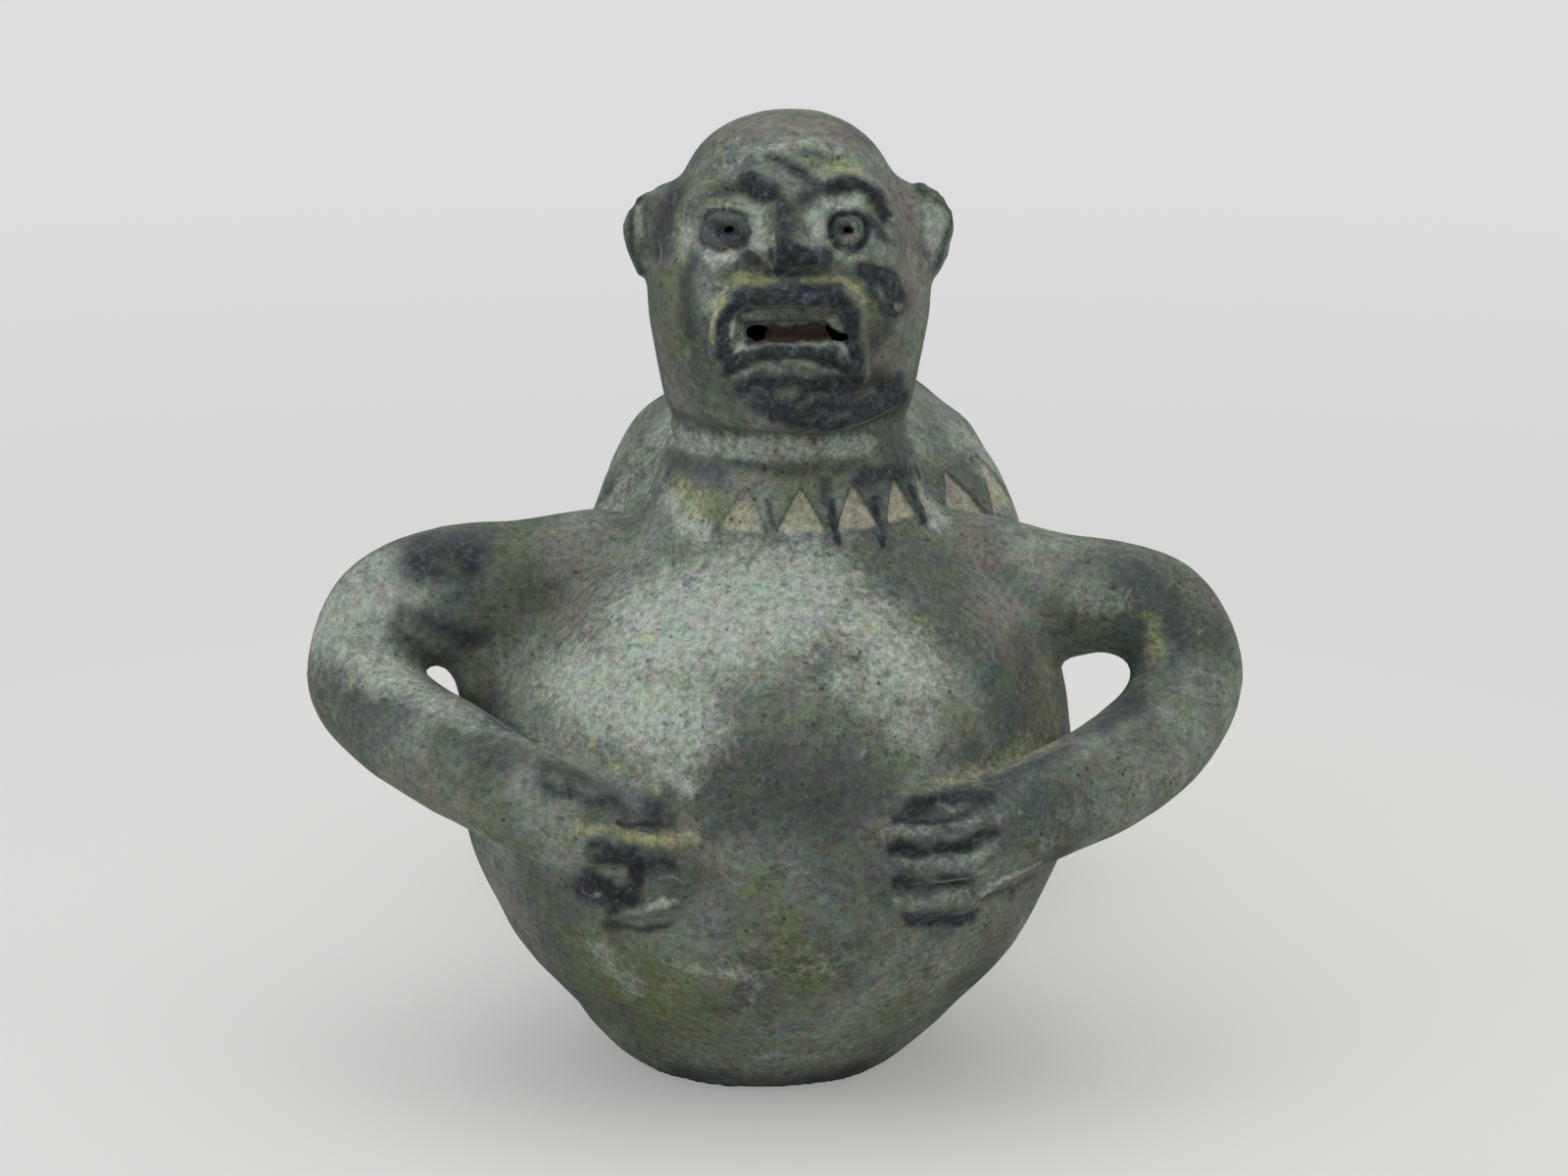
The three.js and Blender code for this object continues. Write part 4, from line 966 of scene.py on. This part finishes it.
# Rubbed-through soot, and painted highlights on the nose and the knuckles
rubbed = stained(spots, np.maximum(on_face, on_body), RUBBED_AND_HIGHLIGHTS)
worn = stained(spots, seen, WORN)
cut_shade_faint = np.maximum(worn, stained(spots, seen, CUT_SHADE_FAINT))
stains = {
    kind: np.maximum(stained(spots, on_face, face), stained(spots, on_body, body))
    for kind, (face, body) in STROKES.items()
}


def clouds(noises, strength, low, high):
    return strength * behind * smooth_step(noises, low, high)


smoky = rolling(co / CLOUD + 9)
earthy = rolling(co / CLOUD - 17)
stains["smoke"] = np.maximum(stains["smoke"] * (1 - rubbed), clouds(smoky, *SMOKE_CLOUD))
stains["pale"] = np.maximum.reduce([stains["pale"], rubbed, clouds(-smoky, *PALE_CLOUD)])
stains["brown"] = np.maximum(stains["brown"], clouds(earthy, *BROWN_CLOUD))
stains["fold"] = np.clip(fold / FOLD_DEPTH, -1, 1)
stains["pressed"] = pressed * (1 - worn)
# A dark line painted along the triangles' cut sides as shade
stains["cut_shade"] = cut_shade * (1 - cut_shade_faint)
for name, values in stains.items():
    skin.data.attributes.new(name, "FLOAT", "POINT").data.foreach_set("value", values)

# The mouth breaks through at both ends of the tongue, and the edges of the breaks are eased
BREAK_EASING = 5
spots = picture(co)
inside = np.maximum.reduce([inside_by(spots, cut) for cut in CUTS])
inside = (inside > 0) & (co[:, 1] < FACE_FRONT) & (co[:, 2] > FACE_FOOT) & (no[:, 1] < 0.3)
bm = bmesh.new()
bm.from_mesh(skin.data)
bm.verts.ensure_lookup_table()
gone = [bm.verts[i] for i in np.flatnonzero(inside)]
bmesh.ops.delete(bm, geom=gone, context="VERTS")
edge = [v for v in bm.verts if v.is_boundary]
for _ in range(BREAK_EASING):
    beside = [[e.other_vert(v).co for e in v.link_edges if e.is_boundary] for v in edge]
    moved = [(v.co * 2 + sum(near, Vector())) / (2 + len(near)) for v, near in zip(edge, beside)]
    for v, p in zip(edge, moved):
        v.co = p
bm.to_mesh(skin.data)
bm.free()

# Smoked green earthenware
# A coarse red clay under a thin green-grey slip: matt, brushed on in level strokes, freckled with
# soot and grit, chalky where it is thick and a little waxy where it was smoked and rubbed.

# What breaks up the slip: size in millimetres, detail and roughness. The grit is really about
# 0.3 mm across and is drawn coarser, so that it shows.
TEXTURES = {
    "drift": (30, 4, 0.6), "patch": (11, 6, 0.7), "mottle": (4.5, 7, 0.75), "grain": (1.8, 6, 0.8),
    "grit": (1.0, 3, 0.75), "brush": (3.2, 5, 0.75), "tints": (5.0, 6, 0.75),
}
# The brush went round level, so its streaks are long across and short upwards
BRUSHED = (0.55, 0.55, 1.9)
# Millimetres from pit to pit
PIT_SPACING = 3.4
BARE_SLIP = "#4e554f"
# Colours of the slip: colour, the texture that it follows, from, to, strength
SLIP = [
    ("#7a8176", "drift", 0.36, 0.64, 1.0), ("#5c6648", "patch", 0.48, 0.64, 0.6),
    ("#646b68", "patch", 0.46, 0.34, 0.5), ("#444c46", "brush", 0.52, 0.66, 0.5),
]
# Colours of the stains: colour, kind, from, to, how ragged, strength. Soot is mixed further on.
# The smoke stain also lays painted shade, and the pale stain painted highlights, on the fingers and
# face
STAINS = [
    ("#5d6542", "olive", 0.16, 0.92, 1.5, 0.65), ("#706b64", "brown", 0.16, 0.92, 1.5, 0.7),
    ("#9fa79a", "pale", 0.16, 0.92, 1.5, 0.85), ("#9c9d74", "ochre", 0.16, 0.92, 1.5, 0.8),
    # The dark row after the pressed triangles paints shade along their cut sides
    ("#a5a28b", "pressed", 0.3, 1.0, 1.2, 0.72), ("#343a36", "cut_shade", 0.35, 1.0, 2.2, 0.6),
    ("soot_and_shade", "smoke", 0.3, 0.75, 2.2, 1.0), ("#33201a", "rust", 0.16, 0.92, 1.5, 0.95),
]
# Freckles over all, in the form of the slip's colours
FRECKLES = [
    ("#363c38", "mottle", 0.43, 0.31, 0.65), ("#aab1a0", "mottle", 0.60, 0.74, 0.4),
    ("#2a302c", "pitted", 0.0, 1.0, 0.8), ("#262b28", "grit", 0.40, 0.30, 0.7),
    ("#b4b9ab", "grit", 0.64, 0.74, 0.3),
]


def earthenware(name):
    """Slip over clay, stained where the stains say."""
    clay = bpy.data.materials.new(name)
    clay.use_nodes = True
    tree = clay.node_tree
    tree.nodes.clear()
    place = add_node(tree, "TexCoord", out="Object")
    strokes = add_node(tree, "Mapping", {"Vector": place, "Scale": BRUSHED})
    felt = {}
    for kind, (size, detail, rough) in TEXTURES.items():
        felt[kind] = add_node(tree, "TexNoise", {
            "Vector": strokes if kind == "brush" else place, "Scale": 1000 / size, "Detail": detail,
            "Roughness": rough,
        }, "Color" if kind == "tints" else "Fac")
    tooth = add_node(tree, "Math", {0: felt["grain"], 1: 0.45}, operation="MULTIPLY")
    tooth = add_node(tree, "Math", {0: felt["mottle"], 1: 0.55, 2: tooth}, operation="MULTIPLY_ADD")
    pits = add_node(tree, "TexVoronoi", {"Vector": place, "Scale": 1000 / PIT_SPACING})
    pits = add_node(tree, "MapRange", {"Value": pits, "From Min": 0.20, "From Max": 0.09}, **SOFT)
    pit_fields = add_node(tree, "MapRange", {
        "Value": felt["patch"], "From Min": 0.46, "From Max": 0.60,
    }, **SOFT)
    felt["pitted"] = add_node(tree, "Math", {0: pits, 1: pit_fields}, operation="MULTIPLY")
    sooty = add_node(tree, "MapRange", {"Value": tooth, "From Min": 0.42, "From Max": 0.66}, **SOFT)
    soot_and_shade = add_node(tree, "Mix", {0: sooty, 6: "#15181d", 7: "#444c52"}, 2, **COLOURS)

    def washed(colour, washes):
        for wash, kind, low, high, strength in washes:
            there = add_node(tree, "MapRange", {
                "Value": felt[kind], "From Min": low, "From Max": high, "To Max": strength,
            }, **SOFT if kind != "pitted" else {})
            colour = add_node(tree, "Mix", {0: there, 6: colour, 7: wash}, 2, **COLOURS)
        return colour

    colour = washed(BARE_SLIP, SLIP)
    for stain, kind, low, high, ragged, strength in STAINS:
        there = add_node(tree, "Attribute", out="Fac", attribute_name=kind)
        torn = add_node(tree, "Math", {0: tooth, 1: ragged, 2: there}, operation="MULTIPLY_ADD")
        torn = add_node(tree, "MapRange", {
            "Value": torn, "From Min": low + ragged / 2, "From Max": high + ragged / 2,
        }, **SOFT)
        laid = add_node(tree, "MapRange", {
            "Value": there, "From Min": 0.02, "From Max": 0.22, "To Max": strength,
        }, **SOFT)
        laid = add_node(tree, "Math", {0: torn, 1: laid}, operation="MULTIPLY")
        if stain == "soot_and_shade":
            # Thin smoke greys the clay evenly, and thick smoke hides it in ragged patches
            # The same dark also lays the painted shade on the fingers, the armpits, the jaw and
            # under the nose
            laid = add_node(tree, "Math", {0: laid, 1: 0.55, 2: 0.42}, operation="MULTIPLY_ADD")
            thick = add_node(tree, "MapRange", {"Value": there, "From Min": 0.03, "From Max": 0.85})
            laid = add_node(tree, "Math", {0: laid, 1: thick}, operation="MULTIPLY")
            stain = soot_and_shade
        colour = add_node(tree, "Mix", {0: laid, 6: colour, 7: stain}, 2, **COLOURS)

    fold = add_node(tree, "Attribute", out="Fac", attribute_name="fold")
    fold = add_node(tree, "MapRange", {
        "Value": fold, "From Min": -0.15, "From Max": -0.9, "To Max": 0.3,
    }, **SOFT)
    colour = add_node(tree, "Mix", {0: fold, 6: colour, 7: "#2b312f"}, 2, **COLOURS)
    tinted = add_node(tree, "BrightContrast", {"Color": felt["tints"], "Contrast": 0.3})
    colour = add_node(tree, "Mix", {0: 0.42, 6: colour, 7: tinted}, 2, **COLOURS,
                      blend_type="SOFT_LIGHT")
    grain = add_node(tree, "MapRange", {
        "Value": felt["grain"], "From Min": 0.34, "From Max": 0.66, "To Min": 0.45, "To Max": 1.55,
    })
    colour = add_node(tree, "Mix", {0: 0.85, 6: colour, 7: grain}, 2, **COLOURS,
                      blend_type="MULTIPLY")
    colour = washed(colour, FRECKLES)

    rough = add_node(tree, "MapRange", {
        "Value": tooth, "From Min": 0.3, "From Max": 0.7, "To Min": 0.74, "To Max": 0.9,
    }, **SOFT)
    height = add_node(tree, "Math", {0: felt["grit"], 1: 0.4}, operation="MULTIPLY")
    height = add_node(tree, "Math", {0: tooth, 1: 0.6, 2: height}, operation="MULTIPLY_ADD")
    height = add_node(tree, "Math", {0: felt["pitted"], 1: -0.3, 2: height},
                      operation="MULTIPLY_ADD")
    bump = add_node(tree, "Bump", {"Height": height, "Strength": 0.7, "Distance": 0.0006})
    surface = add_node(tree, "BsdfPrincipled", {
        "Base Color": colour, "Roughness": rough, "Normal": bump, "IOR": 1.47,
        "Specular IOR Level": 0.3,
    })
    add_node(tree, "OutputMaterial", {"Surface": surface})
    return clay


# One clay at four stages of wear, which the stains tell apart: walls and arms brushed with slip,
# raised features black with carbon, the chalky collar and eyes, and finger rolls painted pale on
# top as a highlight and dark underneath and between as shade
SLOTS = {
    "green_clay": earthenware("smoked green earthenware"),
    "smoked_clay": earthenware("carbon-black earthenware"),
    "pale_clay": earthenware("pale rubbed earthenware"),
    "finger_clay": earthenware("thumbed earthenware"),
}

# Pieces
# The finished clay is parted where the library's solids part. Each piece is a shell as thick as
# its wall, with the lie of the whole surface kept at its edges so that no seam shows.

# Wall thicknesses, in millimetres
WALLS = {
    "front_chamber": 3.0, "rear_chamber": 3.0, "left_arm": 3.0, "right_arm": 3.0, "neck_collar": 3.0,
    "connecting_tube": 3.0, "rear_neck": 2.5, "head": 2.0, "strap_handle": 2.0,
}
THIN_WALL = 1.2
SLOT_PIECES = {
    "smoked_clay": ["nose", "upper_lip", "lower_lip", "left_brow", "right_brow"],
    "pale_clay": ["neck_collar", "left_eye", "right_eye"],
    "finger_clay": [f"{side}_finger_{i}" for side in ("left", "right") for i in (1, 2, 3, 4)],
}

skin.data.transform(TO_ROW)
_, lie = read(skin.data)
skin.data.attributes.new("lie", "FLOAT_VECTOR", "POINT").data.foreach_set("vector", lie.ravel())
node_names = sorted(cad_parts)
solids = bmesh.new()
owner = []
for i, name in enumerate(node_names):
    solids.from_mesh(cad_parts[name].data)
    owner += [i] * len(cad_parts[name].data.polygons)
nearest = BVHTree.FromBMesh(solids)
solids.free()
labels = [owner[nearest.find_nearest(face.center)[2]] for face in skin.data.polygons]
for name in node_names:
    skin.data.materials.append(bpy.data.materials.new("from " + name))
skin.data.polygons.foreach_set("material_index", labels)
skin.data.polygons.foreach_set("use_smooth", [True] * len(labels))
bpy.ops.object.select_all(action="DESELECT")
bpy.context.view_layer.objects.active = skin
skin.select_set(True)
bpy.ops.object.mode_set(mode="EDIT")
bpy.ops.mesh.select_all(action="SELECT")
bpy.ops.mesh.separate(type="MATERIAL")
bpy.ops.object.mode_set(mode="OBJECT")

for piece in list(bpy.context.selected_objects):
    label = piece.data.materials[0].name.removeprefix("from ")
    slot = next((slot for slot, pieces in SLOT_PIECES.items() if label in pieces), "green_clay")
    piece.name = label + "_clay"
    piece.data.materials.clear()
    piece.data.materials.append(SLOTS[slot])
    bm = bmesh.new()
    bm.from_mesh(piece.data)
    for edge in bm.edges:
        edge.smooth = not edge.is_boundary
    bm.to_mesh(piece.data)
    bm.free()
    lie = np.empty(len(piece.data.vertices) * 3)
    piece.data.attributes["lie"].data.foreach_get("vector", lie)
    piece.data.attributes.remove(piece.data.attributes["lie"])
    piece.data.normals_split_custom_set_from_vertices(lie.reshape(-1, 3))
    wall = piece.modifiers.new("wall", "SOLIDIFY")
    wall.thickness = WALLS.get(label, THIN_WALL) / 1000
    wall.offset = -1
    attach(piece, "root")
    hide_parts(label)
